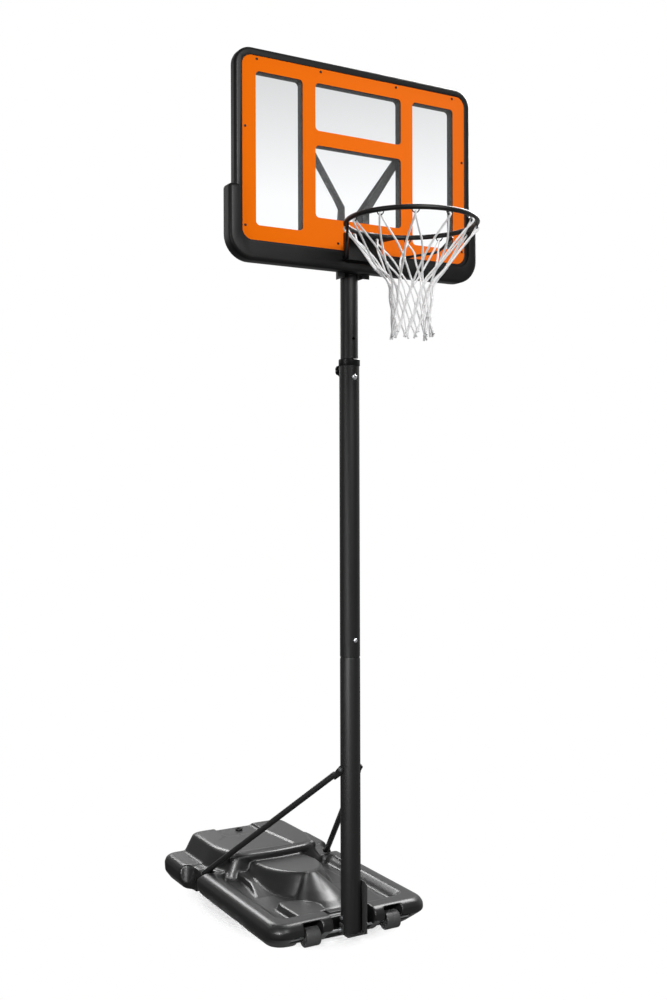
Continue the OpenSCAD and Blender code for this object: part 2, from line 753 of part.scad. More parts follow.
module strut_top_bolt() color(zinc) in_frame()
  pole_bolt_x(plate_in + strut_tab_t, plate_in + strut_tab_t, strut_top_z);

module strut_top_nut() color(satin_black) in_frame() pole_nut_x(plate_in + strut_tab_t, strut_top_z);

module strut_foot_bolts() color(satin_black) in_frame() for (s = [0, 1]) mirror([s, 0, 0]) {
  out = waist_x + fit_gap + strut_tab_t;
  x_rod(bolt_r * 1.8, out, out + head_h, strut_foot_y, strut_foot_z, 6);
  x_rod(bolt_r, waist_x - insert_len + 2, out, strut_foot_y, strut_foot_z);
}

module strut_inserts() color([0.72, 0.55, 0.25]) in_frame() for (s = [0, 1]) mirror([s, 0, 0])
  x_ring(insert_r, bolt_r + hole_gap / 2, waist_x - insert_len, waist_x, strut_foot_y, strut_foot_z);

// Base

// Block bounded by a rounded plan, a front outline in X and Z and a side outline in Y and Z
module moulded_block(half, y0, y1, corner, low, top) intersection() {
  translate([0, (y0 + y1) / 2, low - eps]) linear_extrude(top - low + 2 * eps)
    rounded_rect(2 * half, y1 - y0, corner);
  upright_plate(y1 + eps, y1 - y0 + 2 * eps) children(0);
  side_plate(-half - eps, 2 * half + 2 * eps) children(1);
}

module rail_block(inset) {
  half = rail_x - inset;
  front = inset - tank_front;
  back = rail_end - inset;
  top = rail_h - inset;
  moulded_block(half, front, back, rail_corner, inset, top) {
    polygon([[rail_tuck - half, inset], [half - rail_tuck, inset], [half, rail_tuck + inset], [half, bulge_top],
      [half - bevel, top], [bevel - half, top], [-half, bulge_top], [-half, rail_tuck + inset]]);
    polygon([[front + front_tuck, inset - eps], [back + eps, inset - eps], [back + eps, top + eps],
      [front + bevel, top + eps], [front, bulge_top], [front, front_bulge + inset]]);
  }
}

module lobe_block(inset) {
  half = lobe_x - inset;
  front = lobe_front + inset;
  back = tank_back - inset;
  top = lobe_h - inset;
  shoulder = lobe_h - lobe_bevel_h;
  moulded_block(half, front, back, lobe_corner, inset, top) {
    polygon([[rail_tuck - half, inset], [half - rail_tuck, inset], [half, rail_tuck + inset],
      [half, shoulder], [half - bevel, top], [bevel - half, top], [-half, shoulder],
      [-half, rail_tuck + inset]]);
    polygon([[front + bevel, inset - eps], [back - bevel, inset - eps], [back, rail_tuck + inset],
      [back, shoulder], [back - bevel, top + eps], [front + bevel, top + eps], [front, shoulder],
      [front, rail_tuck + inset]]);
  }
}

module hump_block(inset) {
  half = hump_w / 2 - inset;
  foot = half + hump_flare;
  front = hump_front + inset;
  back = hump_back - inset;
  low = deck_h - tank_wall / 2 - 2 * inset;
  top = hump_h - inset;
  difference() {
    moulded_block(foot, front, back, hump_corner, low, top) {
      polygon([[-foot, low], [foot, low], [half, top], [-half, top]]);
      polygon([[front, low - eps], [back, low - eps], [back - hump_back_rake, top + eps],
        [front + hump_front_rake, top + eps]]);
    }
    for (s = [0, 1]) mirror([s, 0, 0]) translate([half, taper_y, top]) rotate([0, 0, -taper_turn])
      rotate([0, -atan2(hump_flare, top - low), 0]) translate([0, -hump_w, -hump_w])
        cube([hump_w, 2 * hump_w, 2 * hump_w]);
  }
}

module waist_block(inset) translate([inset - waist_x, deck_end + waist_tuck + inset, inset])
  cube([waist_w - 2 * inset, lobe_front + waist_tuck - deck_end, step_h - 2 * inset]);

module deck_cut(grow) translate([0, (front_rail + deck_end) / 2, deck_h - grow])
  linear_extrude(rail_h) rounded_rect(deck_w + 2 * grow, deck_end - front_rail + 2 * grow, deck_corner + grow);

// Nose-shaped dome in front of the hump, and the platform with a ramp that it stands on
module dome_block(inset) translate([0, 0, deck_h - tank_wall / 2 - 2 * inset])
  linear_extrude(dome_h - deck_h + tank_wall / 2 + inset) polygon(concat(
    [[dome_x - inset, dome_back], [inset - dome_x, dome_back]],
    [for (a = [180 : dome_step : 360])
      [(dome_x - inset) * cos(a), dome_y + (dome_reach - inset) * sin(a)]]));

module platform_block(inset) {
  low = deck_h - tank_wall / 2 - 2 * inset;
  side_plate(inset - platform_x, 2 * (platform_x - inset)) polygon([[ramp_front + inset, low],
    [ramp_back + inset, platform_h - inset], [dome_back, platform_h - inset], [dome_back, low]]);
}

// Flute from the dome down to the pole, the raised steps beside it and the lip of the hump
module deck_forms() {
  low = deck_h - tank_wall / 2;
  translate([0, 0, low]) linear_extrude(step_h - low) for (s = [-1, 1])
    polygon([for (p = step_outline) [s * p[0], p[1]]]);
  intersection() {
    translate([0, 0, low]) linear_extrude(dome_h - low) polygon([[-flute_front_x, flute_front],
      [flute_front_x, flute_front], [flute_back_x, flute_back], [-flute_back_x, flute_back]]);
    side_plate(-flute_front_x, 2 * flute_front_x) polygon([[flute_front, low - eps], [flute_front, flute_low],
      [flute_back, flute_high], [flute_back, low - eps]]);
  }
  x_rod(lip_r, -lip_x, lip_x, hump_front + lip_set, hump_h - lip_r - fit_gap);
}

// Recess in the hump's rear edge that the fill cap sits in
module cap_cut(grow) translate([recess_x - recess_half - grow, recess_front - grow, cap_floor - grow])
  cube([2 * (recess_half + grow), tank_back, cap_recess + grow + eps]);

module front_cuts() {
  for (s = [0, 1]) mirror([s, 0, 0]) {
    translate([pocket_x0, -tank_front - eps, -eps])
      cube([pocket_x1 - pocket_x0, tank_front + pocket_back, pocket_h]);
    translate([pocket_x1 - eps, -tank_front - eps, axle_z - groove_half_h])
      cube([groove_x1 - pocket_x1 + eps, tank_front + groove_back + eps, 2 * groove_half_h]);
  }
  translate([-slot_x, -tank_front - eps, -eps])
    cube([2 * slot_x, tank_front + slot_back + eps, rail_h + 2 * eps]);
  translate([-slot_x, 0, deck_h]) cube([2 * slot_x, front_rail + eps, rail_h]);
  x_rod(axle_r + hole_gap, -rail_x - eps, rail_x + eps, 0, axle_z);
}

// Channel beside the waist that the struts' lower ends lie in
module strut_cuts(grow) {
  slope = (strut_top_z - strut_foot_z) / strut_foot_y;
  low = strut_foot_z - channel_low - 1.3 * grow;
  far = strut_foot_y + channel_far + grow;
  near = strut_foot_y - channel_near;
  for (s = [0, 1]) mirror([s, 0, 0]) intersection() {
    side_plate(waist_x - channel_reach, 2 * channel_reach) polygon([[far, low + slope * (strut_foot_y - far)],
      [near, low + slope * (strut_foot_y - near)], [near, hump_h + eps], [far, hump_h + eps]]);
    linear_extrude(hump_h + 2 * eps) polygon([[channel_outside, far + eps], [waist_x - grow, far + eps],
      [waist_x - grow, channel_front + grow], channel_back + grow * [-1, 1],
      [channel_front_x - grow, near - eps], [channel_outside, near - eps]]);
  }
}

// Air space of the tank, behind the solid front rail
module tank_cavity() difference() {
  union() {
    difference() {
      rail_block(tank_wall);
      translate([-rail_x, -tank_front, 0]) cube([tank_w, tank_front + front_rail + 8, rail_h]);
      deck_cut(tank_wall);
    }
    waist_block(tank_wall);
    lobe_block(tank_wall);
    hump_block(tank_wall);
    dome_block(tank_wall);
    platform_block(tank_wall);
  }
  strut_cuts(tank_wall);
  cap_cut(tank_wall);
  for (s = [0, 1]) mirror([s, 0, 0])
    x_rod(insert_r + tank_wall, waist_x - insert_len - tank_wall, waist_x, strut_foot_y, strut_foot_z);
}

module tank() color(moulded_black) in_frame() difference() {
  union() {
    difference() {
      rail_block(0);
      deck_cut(0);
    }
    waist_block(0);
    lobe_block(0);
    hump_block(0);
    dome_block(0);
    platform_block(0);
    deck_forms();
  }
  front_cuts();
  strut_cuts(0);
  tank_cavity();
  for (s = [0, 1]) mirror([s, 0, 0])
    x_rod(insert_r + hole_gap / 2, waist_x - insert_len, waist_x + eps, strut_foot_y, strut_foot_z);
  cap_cut(0);
  translate([cap_x, cap_y, cap_floor - 4 * tank_wall]) cylinder(r = neck_r, h = 5 * tank_wall);
}

module fill_cap() color(satin_black) in_frame() translate([cap_x, cap_y, cap_floor + fit_gap]) {
  cylinder(r = cap_d / 2, h = cap_h);
  translate([0, 0, -3 * tank_wall]) cylinder(r = neck_r - fit_gap, h = 3 * tank_wall + eps);
}

module axle() color(zinc) in_frame() x_rod(axle_r, -axle_half, axle_half, 0, axle_z);

module axle_nuts() color(zinc) in_frame() for (s = [0, 1]) mirror([s, 0, 0])
  x_ring(axle_r * 1.8, axle_r + hole_gap / 2, plate_out, plate_out + nut_h, 0, axle_z, 6);

// Wheel with rounded shoulders and recessed sides, turning on the axle
module wheel() translate([wheel_x, 0, axle_z]) rotate([0, 90, 0]) rotate_extrude() {
  half = wheel_w / 2;
  bore = axle_r + wheel_clear;
  hub = bore + hub_wall;
  tread = wheel_r - tread_wall;
  floor = half - wheel_dish;
  polygon([[bore, -half], [hub, -half], [hub + wheel_draft, -floor], [tread - wheel_draft, -floor],
    [tread, -half], [wheel_r - wheel_dish, -half], [wheel_r, -floor], [wheel_r, floor],
    [wheel_r - wheel_dish, half], [tread, half], [tread - wheel_draft, floor], [hub + wheel_draft, floor],
    [hub, half], [bore, half]]);
}

module right_wheel() color(dark_grey) in_frame() wheel();

module left_wheel() color(dark_grey) in_frame() mirror([1, 0, 0]) wheel();

// Bracket under the pole: a low plate on its left carries the axle, and a tall one on its right is bolted to it
module foot_bracket() color(satin_black) in_frame() difference() {
  union() {
    translate([-plate_out, -foot_front, foot_low]) cube([2 * plate_out, foot_front + tube_r, plate_t]);
    side_plate(plate_in, plate_t) polygon([[-foot_front, foot_low], [foot_back, foot_low],
      [foot_back, foot_top], [foot_chamfer - foot_front, foot_top], [-foot_front, foot_top - foot_chamfer]]);
    side_plate(-plate_out, plate_t) polygon([[-foot_back, foot_low], [foot_back, foot_low],
      [foot_back, foot_step], [-foot_back, foot_step]]);
  }
  x_rod(axle_r + hole_gap, -plate_out - eps, plate_out + eps, 0, axle_z);
  x_rod(bolt_r + hole_gap, -plate_out - eps, plate_out + eps, 0, foot_bolt_z);
}

module foot_bolt() color(zinc) in_frame() pole_bolt_x(plate_in, plate_out, foot_bolt_z);

module foot_nut() color(zinc) in_frame() pole_nut_x(plate_out, foot_bolt_z);

tank();
strut_inserts();
fill_cap();
axle();
left_wheel();
right_wheel();
axle_nuts();
foot_bracket();
foot_bolt();
foot_nut();
lower_tube();
middle_tube();
joint_bolt();
joint_nut();
collar();
lock_bolt();
clamp_nut();
clamp_screw();
clamp_knob();
left_strut();
right_strut();
strut_top_bolt();
strut_top_nut();
strut_foot_bolts();
upper_tube();
left_arm();
right_arm();
arm_bolts();
arm_nuts();
arm_spacers();
arm_top_screws();
board_frame();
board_sheet();
border_film();
sheet_screws();
edge_pad();
rim_ring();
rim_bracket();
left_brace();
right_brace();
net_hooks();
rim_bolts();
rim_nuts();
net();
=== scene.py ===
"""Looks of the portable basketball hoop: tank, pole, board, rim and net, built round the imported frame."""

import random
from contextlib import contextmanager
from math import atan2, cos, degrees, exp, pi, radians, sin

import bpy
from mathutils import Matrix, Vector


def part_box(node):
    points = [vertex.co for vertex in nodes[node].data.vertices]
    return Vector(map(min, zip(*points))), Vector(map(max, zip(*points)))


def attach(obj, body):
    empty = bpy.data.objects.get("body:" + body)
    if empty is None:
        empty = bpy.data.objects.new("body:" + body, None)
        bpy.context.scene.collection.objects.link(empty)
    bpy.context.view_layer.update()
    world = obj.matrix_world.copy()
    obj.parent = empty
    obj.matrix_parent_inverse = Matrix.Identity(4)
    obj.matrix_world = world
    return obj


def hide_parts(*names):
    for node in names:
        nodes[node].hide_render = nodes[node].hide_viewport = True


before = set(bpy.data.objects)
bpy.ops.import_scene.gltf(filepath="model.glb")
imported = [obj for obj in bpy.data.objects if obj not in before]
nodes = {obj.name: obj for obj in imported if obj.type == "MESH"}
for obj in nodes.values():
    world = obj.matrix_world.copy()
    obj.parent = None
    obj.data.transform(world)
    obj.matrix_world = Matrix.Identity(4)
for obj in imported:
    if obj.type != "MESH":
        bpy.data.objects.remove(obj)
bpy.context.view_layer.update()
random.seed(7)

POLE_LOW, POLE_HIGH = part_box("lower_tube")
POLE_Y = (POLE_LOW.y + POLE_HIGH.y) / 2
POLE_AXIS = Vector((0, POLE_Y, 0))
MM = 0.001
MERGE_REACH = 0.02 * MM
COPY_MERGE_REACH = 0.01 * MM
SIDES = ((-1, "left"), (1, "right"))


def at(x, y, z):
    """A point given in millimetres from the pole's foot."""
    return Vector((x * MM, POLE_Y + y * MM, z * MM))


def offset(x, y, z):
    """A step given in millimetres."""
    return Vector((x * MM, y * MM, z * MM))


# Modelling by hand


def pick(*pieces):
    """Leaves only these pieces selected, the first of them active."""
    bpy.ops.object.select_all(action="DESELECT")
    for piece in pieces:
        piece.select_set(True)
    bpy.context.view_layer.objects.active = pieces[0]


@contextmanager
def editing(piece, elements="VERT"):
    """Edit mode on one piece, picking by vertex, edge or face."""
    pick(piece)
    chosen = [elements == kind for kind in ("VERT", "EDGE", "FACE")]
    bpy.context.tool_settings.mesh_select_mode = chosen
    bpy.ops.object.mode_set(mode="EDIT")
    yield
    bpy.ops.object.mode_set(mode="OBJECT")


def named(name):
    """Names the piece that an operator has just added."""
    piece = bpy.context.object
    piece.name = name
    piece.data.name = name
    return piece


def settle(piece):
    """Puts a piece's place, turn and size into its mesh."""
    pick(piece)
    bpy.ops.object.transform_apply(location=True, rotation=True, scale=True)
    return piece


def shape(piece, kind, **settings):
    """Adds a modifier to a piece and applies it."""
    pick(piece)
    modifier = piece.modifiers.new(kind.lower(), kind)
    for setting, value in settings.items():
        setattr(modifier, setting, value)
    bpy.ops.object.modifier_apply(modifier=modifier.name)
    return piece


def soften(piece, width, segments, angle):
    """Rounds the edges of a piece that are sharper than an angle, width in millimetres."""
    return shape(piece, "BEVEL", width=width * MM, segments=segments, limit_method="ANGLE",
                 angle_limit=radians(angle))


def carve(piece, tool, operation="DIFFERENCE", solver="EXACT"):
    """Cuts a tool out of a piece, or joins it on, and throws the tool away."""
    shape(piece, "BOOLEAN", object=tool, operation=operation, solver=solver)
    bpy.data.objects.remove(tool)
    return piece


def joined(name, pieces):
    """Several pieces made into one object."""
    pick(*pieces)
    bpy.ops.object.join()
    return named(name)


def choose_all():
    bpy.ops.mesh.select_all(action="SELECT")


def face_out():
    """Turns all faces of the piece in hand outwards."""
    choose_all()
    bpy.ops.mesh.normals_make_consistent(inside=False)


def block(name, low, high):
    """A cuboid between two corners."""
    bpy.ops.mesh.primitive_cube_add(size=1, location=(low + high) / 2)
    piece = named(name)
    piece.scale = high - low
    return settle(piece)


def plate(name, low, high, radius, segments):
    """An upright slab whose four corners, seen from the front, are rounded."""
    piece = block(name, low, high)
    mesh = piece.data
    for part in (mesh.vertices, mesh.edges, mesh.polygons):
        part.foreach_set("select", [False] * len(part))
    for edge in mesh.edges:
        front, back = sorted(mesh.vertices[i].co.y for i in edge.vertices)
        edge.select = back - front > 0.5 * (high.y - low.y)
    with editing(piece, "EDGE"):
        bpy.ops.mesh.bevel(offset=radius * MM, segments=segments, affect="EDGES")
    return piece


def rounded_path(points, radius, steps=5):
    """A path with its inner corners rounded."""
    path = [points[0]]
    for before, corner, after in zip(points, points[1:], points[2:]):
        back = before - corner
        on = after - corner
        reach = min(radius, back.length / 2, on.length / 2)
        start = corner + back.normalized() * reach
        end = corner + on.normalized() * reach
        for step in range(steps + 1):
            t = step / steps
            path.append(start * (1 - t) ** 2 + corner * 2 * t * (1 - t) + end * t * t)
    path.append(points[-1])
    return path


TURNS = {"Z": (0, 0, 0), "X": (0, pi / 2, 0), "Y": (-pi / 2, 0, 0)}


def turned(name, profile, centre, axis, steps, rounding=0.0):
    """A piece turned from points of radius and height in millimetres, round an axis through centre."""
    points = [offset(radius, 0, height) for radius, height in profile]
    if rounding:
        points = rounded_path(points, rounding * MM)
    bpy.ops.mesh.primitive_plane_add(size=MM)
    piece = named(name)
    with editing(piece):
        choose_all()
        bpy.ops.mesh.merge(type="CENTER")
        bpy.ops.transform.translate(value=points[0])
        for before, after in zip(points, points[1:]):
            bpy.ops.mesh.extrude_region_move(TRANSFORM_OT_translate={"value": after - before})
        choose_all()
        bpy.ops.mesh.spin(steps=steps, angle=2 * pi, center=(0, 0, 0), axis=(0, 0, 1))
        choose_all()
        bpy.ops.mesh.remove_doubles(threshold=MERGE_REACH)
        face_out()
    piece.rotation_euler = TURNS[axis]
    piece.location = centre
    return settle(piece)


def drum(radius, low, high):
    """The profile of a plain cylinder."""
    return [(0, low), (radius, low), (radius, high), (0, high)]


def outline_points(half, front, back, radius, count=10):
    """Points round a rectangle with rounded corners, in millimetres."""
    side = half - radius
    corners = ((side, back - radius), (-side, back - radius), (-side, front + radius), (side, front + radius))
    points = []
    for quarter, (x, y) in enumerate(corners):
        for step in range(count):
            angle = (quarter + step / (count - 1)) * pi / 2
            points.append((x + radius * cos(angle), y + radius * sin(angle)))
    return points


def rounded_outline(corners, radius, steps=6):
    """A closed outline in millimetres through corners that are each rounded."""
    points = [Vector((x, y, 0)) for x, y in corners]
    path = rounded_path([points[-1], *points, points[0]], radius, steps)
    return [(point.x, point.y) for point in path[1:-1]]


def ring_of(points, z):
    """A closed loop of edges through points at one height."""
    bpy.ops.mesh.primitive_circle_add(vertices=len(points), radius=1)
    loop = named("loop")
    for vertex, (x, y) in zip(loop.data.vertices, points):
        vertex.co = at(x, y, z)
    return loop


def stacked(name, levels):
    """A moulded form bridged through loops, each given as its height and its outline's points."""
    piece = joined(name, [ring_of(points, z) for z, points in levels])
    with editing(piece, "EDGE"):
        choose_all()
        bpy.ops.mesh.bridge_edge_loops()
        choose_all()
        bpy.ops.mesh.fill_holes(sides=0)
        face_out()
    return piece


def moulded(name, levels):
    """A stacked form of rounded rectangles: height, half width, front, back, corner radius."""
    return stacked(name, [(z, outline_points(*sizes)) for z, *sizes in levels])


def round_curve(name, radius, sides):
    """An empty curve with a round section, radius in millimetres."""
    curve = bpy.data.curves.new(name, "CURVE")
    curve.dimensions = "3D"
    curve.bevel_depth = radius * MM
    curve.bevel_resolution = sides
    curve.use_fill_caps = True
    return curve


def meshed(name, curve):
    """A curve made into a mesh."""
    piece = bpy.data.objects.new(name, curve)
    bpy.context.scene.collection.objects.link(piece)
    pick(piece)
    bpy.ops.object.convert(target="MESH")
    return named(name)


def rod_along(name, points, radius, sides=4):
    """A round rod along a path of points in metres."""
    curve = round_curve(name, radius, sides)
    spline = curve.splines.new("POLY")
    spline.points.add(len(points) - 1)
    for place, point in zip(spline.points, points):
        place.co = (*point, 1)
    return meshed(name, curve)


def pressed_copy(node, width, segments=2):
    """A copy of a CAD node with its edges rounded, width in millimetres."""
    pick(nodes[node])
    bpy.ops.object.duplicate(linked=False)
    piece = named(node + "_pressed")
    for key in list(piece.keys()):
        del piece[key]
    piece.parent = None
    with editing(piece):
        bpy.ops.mesh.customdata_custom_splitnormals_clear()
        choose_all()
        bpy.ops.mesh.remove_doubles(threshold=COPY_MERGE_REACH)
        bpy.ops.mesh.dissolve_limited(angle_limit=radians(1))
    return soften(piece, width, segments, angle=40)


def dress(piece, finish, body, slot, *stands_for, angle=35):
    """Gives a finished piece its material, smooth shading and body, and hides the CAD nodes it stands for;
    slot is not used.
    """
    pick(piece)
    piece.data.materials.clear()
    piece.data.materials.append(finish)
    bpy.ops.object.shade_smooth_by_angle(angle=radians(angle))
    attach(piece, body)
    if stands_for:
        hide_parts(*stands_for)
    return piece


# Finishes


class Channel:
    """A value on a surface, which sums can use as a number."""

    def __init__(self, bench, node, output):
        self.bench = bench
        self.node = node
        self.socket = node.outputs[output]

    def __add__(self, other):
        return self.bench.sum("ADD", self, other)

    __radd__ = __add__

    def __rsub__(self, other):
        return self.bench.sum("SUBTRACT", other, self)

    def __mul__(self, other):
        return self.bench.sum("MULTIPLY", self, other)


class NodeBench:
    """A node tree under construction."""

    def __init__(self, tree):
        self.tree = tree

    def add(self, kind, values=(), output=0, **settings):
        """Adds a node, its settings first, then its sockets' values or links, and gives one output."""
        node = self.tree.nodes.new("ShaderNode" + kind)
        for setting, value in settings.items():
            setattr(node, setting, value)
        for socket, value in dict(values).items():
            self.feed(node.inputs[socket], value)
        return Channel(self, node, output)

    def feed(self, socket, value):
        if isinstance(value, Channel):
            self.tree.links.new(value.socket, socket)
        else:
            socket.default_value = value

    def sum(self, operation, first, second):
        return self.add("Math", {0: first, 1: second}, operation=operation)

    def mask(self, channel, low, high):
        """A channel spread from 0 at low to 1 at high."""
        spread = self.add("ValToRGB", {"Fac": channel})
        black, white = spread.node.color_ramp.elements
        black.position = low
        white.position = high
        return spread

    def blend(self, share, first, second):
        return self.add("Mix", {0: share, 6: first, 7: second}, output=2, data_type="RGBA")

    def part(self, vector, axis):
        """One axis of a vector, as a number."""
        return self.add("SeparateXYZ", {"Vector": vector}, output=axis)


class Finish(NodeBench):
    """A material under construction: one shader and the nodes that feed it."""

    def __init__(self, name):
        self.material = bpy.data.materials.new(name)
        self.material.use_nodes = True
        super().__init__(self.material.node_tree)
        self.shader = self.tree.nodes["Principled BSDF"]
        self.place = self.add("TexCoord", output="Object")

    def surface(self, **values):
        """Sets the shader's sockets, named with underscores for spaces."""
        for socket, value in values.items():
            self.feed(self.shader.inputs[socket.replace("_", " ")], value)
        return self.material

    def noise(self, scale, detail, roughness=0.5, stretch=None):
        place = self.place
        if stretch:
            place = self.add("Mapping", {"Vector": place, "Scale": stretch})
        values = {"Vector": place, "Scale": scale, "Detail": detail, "Roughness": roughness}
        return self.add("TexNoise", values)

    def bump(self, height, depth, strength):
        """Normals of a relief, depth in millimetres."""
        return self.add("Bump", {"Height": height, "Distance": depth * MM, "Strength": strength})


def grey(shade, warmth=0.0):
    return (shade * (1 + warmth), shade, shade * (1 - warmth), 1)


def toned(tint, gain):
    """A colour made lighter or darker."""
    return tuple(min(1.0, part * gain) for part in tint[:3]) + (1,)


def moulded_plastic(name, shade, roughness, grain=0.25, dust=0.35, gloss=0.5):
    """Moulded plastic with a fine leather grain, cloudy gloss and a little dust."""
    finish = Finish(name)
    pebble = finish.add("TexVoronoi", {"Vector": finish.place, "Scale": 420.0, "Smoothness": 0.6},
                        feature="SMOOTH_F1")
    clouds = finish.noise(scale=6.0, detail=4.0)
    flow = finish.noise(scale=38.0, detail=5.0, roughness=0.6)
    rubbing = finish.noise(scale=90.0, detail=6.0, roughness=0.7, stretch=(1.0, 0.25, 1.0))
    scuffs = finish.mask(rubbing, 0.62, 0.78)
    pale = finish.blend(finish.mask(clouds, 0.35, 0.75), grey(shade * 0.9), grey(shade * 1.15))
    colour = finish.blend(scuffs * dust, pale, grey(shade * 1.9 + 0.01, warmth=0.01))
    relief = pebble * grain + flow * 0.5
    return finish.surface(Base_Color=colour, Roughness=roughness - 0.06 + clouds * 0.1 + scuffs * 0.12,
                          Normal=finish.bump(relief, depth=0.12, strength=0.3), IOR=1.5,
                          Specular_IOR_Level=gloss)


def powder_coat(name, shade, roughness, metallic=0.0):
    """Powder-coated steel: fine orange peel, faint rubbed streaks along the tube."""
    finish = Finish(name)
    peel = finish.noise(scale=520.0, detail=2.0)
    streaks = finish.noise(scale=60.0, detail=5.0, roughness=0.6, stretch=(1.0, 1.0, 0.06))
    clouds = finish.noise(scale=5.0, detail=3.0)
    rubbed = finish.mask(streaks, 0.6, 0.8)
    coat = finish.blend(clouds, grey(shade * 0.85), grey(shade * 1.2))
    colour = finish.blend(rubbed * 0.3, coat, grey(shade * 2.2))
    return finish.surface(Base_Color=colour, Metallic=metallic,
                          Roughness=roughness + clouds * 0.08 + rubbed * 0.1,
                          Normal=finish.bump(peel, depth=0.05, strength=0.35), Specular_IOR_Level=0.4)


def plated_steel(name, tint, roughness=0.3):
    """Zinc-plated steel with spangle and fine turning marks."""
    finish = Finish(name)
    spangle = finish.add("TexVoronoi", {"Vector": finish.place, "Scale": 260.0})
    marks = finish.noise(scale=900.0, detail=2.0)
    stain = finish.mask(finish.noise(scale=70.0, detail=4.0), 0.45, 0.75)
    bright = finish.blend(spangle, tint, toned(tint, 1.15))
    colour = finish.blend(stain * 0.35, bright, toned(tint, 0.55))
    return finish.surface(Base_Color=colour, Metallic=1.0, Roughness=roughness + stain * 0.2 + marks * 0.08,
                          Normal=finish.bump(marks, depth=0.03, strength=0.4))


# The film's orange at the board's left and right edges: the change between them is painted light, the way the
# light falls across the board.
FILM_PAINTED_LIGHT_LEFT, FILM_PAINTED_LIGHT_RIGHT = (0.94, 0.172, 0.0004, 1), (0.98, 0.185, 0.016, 1)
FILM_SPECKS = (0.86, 0.15, 0.001, 1)
SHEET_HAZE, SHEET_TINT = (0.94, 0.96, 0.97, 1), (0.97, 0.98, 0.985, 1)
# The cord's hollows are darker than its strands as painted shade; the strands and the fuzz are the nylon's
# own white.
CORD_PAINTED_SHADE_HOLLOWS, CORD_STRANDS, CORD_FUZZ = (0.88, 0.88, 0.89, 1), (0.97, 0.97, 0.97, 1), (0.97, 0.97, 0.96, 1)


def printed_film():
    """Glossy orange border film with a faint print grain, a slow random drift in tone, and painted light that
    shifts its tone from the board's left to its right.
    """
    finish = Finish("film_gloss")
    # Random drift in tone, plus painted light that shifts the film's tone from the left of the board to the
    # right.
    drift_and_painted_light = finish.noise(scale=1.6, detail=1.0) * 0.3 + finish.part(finish.place, "X") + 0.35
    grain = finish.noise(scale=850.0, detail=2.0)
    ripple = finish.noise(scale=24.0, detail=2.0)
    base = finish.blend(finish.mask(drift_and_painted_light, 0.0, 1.0), FILM_PAINTED_LIGHT_LEFT, FILM_PAINTED_LIGHT_RIGHT)
    colour = finish.blend(finish.mask(grain, 0.35, 0.8) * 0.2, base, FILM_SPECKS)
    return finish.surface(Base_Color=colour, Roughness=0.34 + grain * 0.1, Specular_IOR_Level=0.03,
                          Normal=finish.bump(ripple, depth=0.08, strength=0.3))


def clear_acrylic():
    """Clear sheet with a cool tint and fine wiping scratches."""
    finish = Finish("sheet_clear")
    scratches = finish.noise(scale=140.0, detail=5.0, roughness=0.7, stretch=(1.0, 1.0, 0.15))
    wipes = finish.mask(scratches, 0.6, 0.8)
    colour = finish.blend(finish.noise(scale=4.0, detail=2.0), SHEET_HAZE, SHEET_TINT)
    return finish.surface(Base_Color=colour, Roughness=0.02 + wipes * 0.06, Transmission_Weight=1.0,
                          IOR=1.49)


def braided_cord():
    """White braided nylon: slanted strands round the cord, read from its own UV map, with painted shade
    darkening the hollows between the strands.
    """
    finish = Finish("cord_braid")
    own_map = finish.add("UVMap")
    around = finish.add("Mapping", {"Vector": own_map, "Scale": (240.0, 4.0, 1.0)})
    slant = finish.add("TexWave", {"Vector": around, "Scale": 1.0, "Distortion": 0.4, "Detail": 1.0},
                       output="Fac", wave_type="BANDS", bands_direction="DIAGONAL")
    fuzz = finish.noise(scale=700.0, detail=3.0)
    # Painted shade: the hollows between the slanted strands are darker than the strands.
    shade = finish.blend(slant, CORD_PAINTED_SHADE_HOLLOWS, CORD_STRANDS)
    colour = finish.blend(finish.mask(fuzz, 0.4, 0.8) * 0.3, shade, CORD_FUZZ)
    return finish.surface(Base_Color=colour, Roughness=0.7 + fuzz * 0.2, Sheen_Weight=0.3,
                          Normal=finish.bump(slant + fuzz * 0.4, depth=0.4, strength=0.3))


TANK_FINISH = moulded_plastic("tank_charcoal", shade=0.012, roughness=0.35)
FRAME_FINISH = moulded_plastic("frame_black", shade=0.009, roughness=0.42, grain=0.15, dust=0.2, gloss=0.3)
PAD_FINISH = moulded_plastic("pad_black", shade=0.009, roughness=0.45, grain=0.4, dust=0.25, gloss=0.3)
WHEEL_FINISH = moulded_plastic("wheel_grey", shade=0.06, roughness=0.45)
CAP_FINISH = moulded_plastic("cap_black", shade=0.006, roughness=0.4, grain=0.15, dust=0.2, gloss=0.3)
POLE_FINISH = powder_coat("pole_coat", shade=0.0105, roughness=0.42)
ARM_FINISH = powder_coat("arm_coat", shade=0.03, roughness=0.42)
RIM_FINISH = powder_coat("rim_coat", shade=0.008, roughness=0.4)
OXIDE_FINISH = powder_coat("bolt_oxide", shade=0.02, roughness=0.35, metallic=0.6)
ZINC_FINISH = plated_steel("zinc_plate", tint=(0.72, 0.73, 0.75, 1))
AXLE_FINISH = plated_steel("axle_steel", tint=(0.6, 0.61, 0.62, 1), roughness=0.34)
BRASS_FINISH = plated_steel("insert_brass_plate", tint=(0.72, 0.5, 0.2, 1))
FILM_FINISH = printed_film()
SHEET_FINISH = clear_acrylic()
CORD_FINISH = braided_cord()


# Camera, light and floor

CAMERA_PLACE = (-2.3045, -4.11255, 1.758)
CAMERA_YAW, CAMERA_PITCH, CAMERA_ROLL = (radians(angle) for angle in (-29.67, -0.22, -0.16))
SENSOR_HEIGHT = 36.0
FOCAL_SHARE = 1.1481

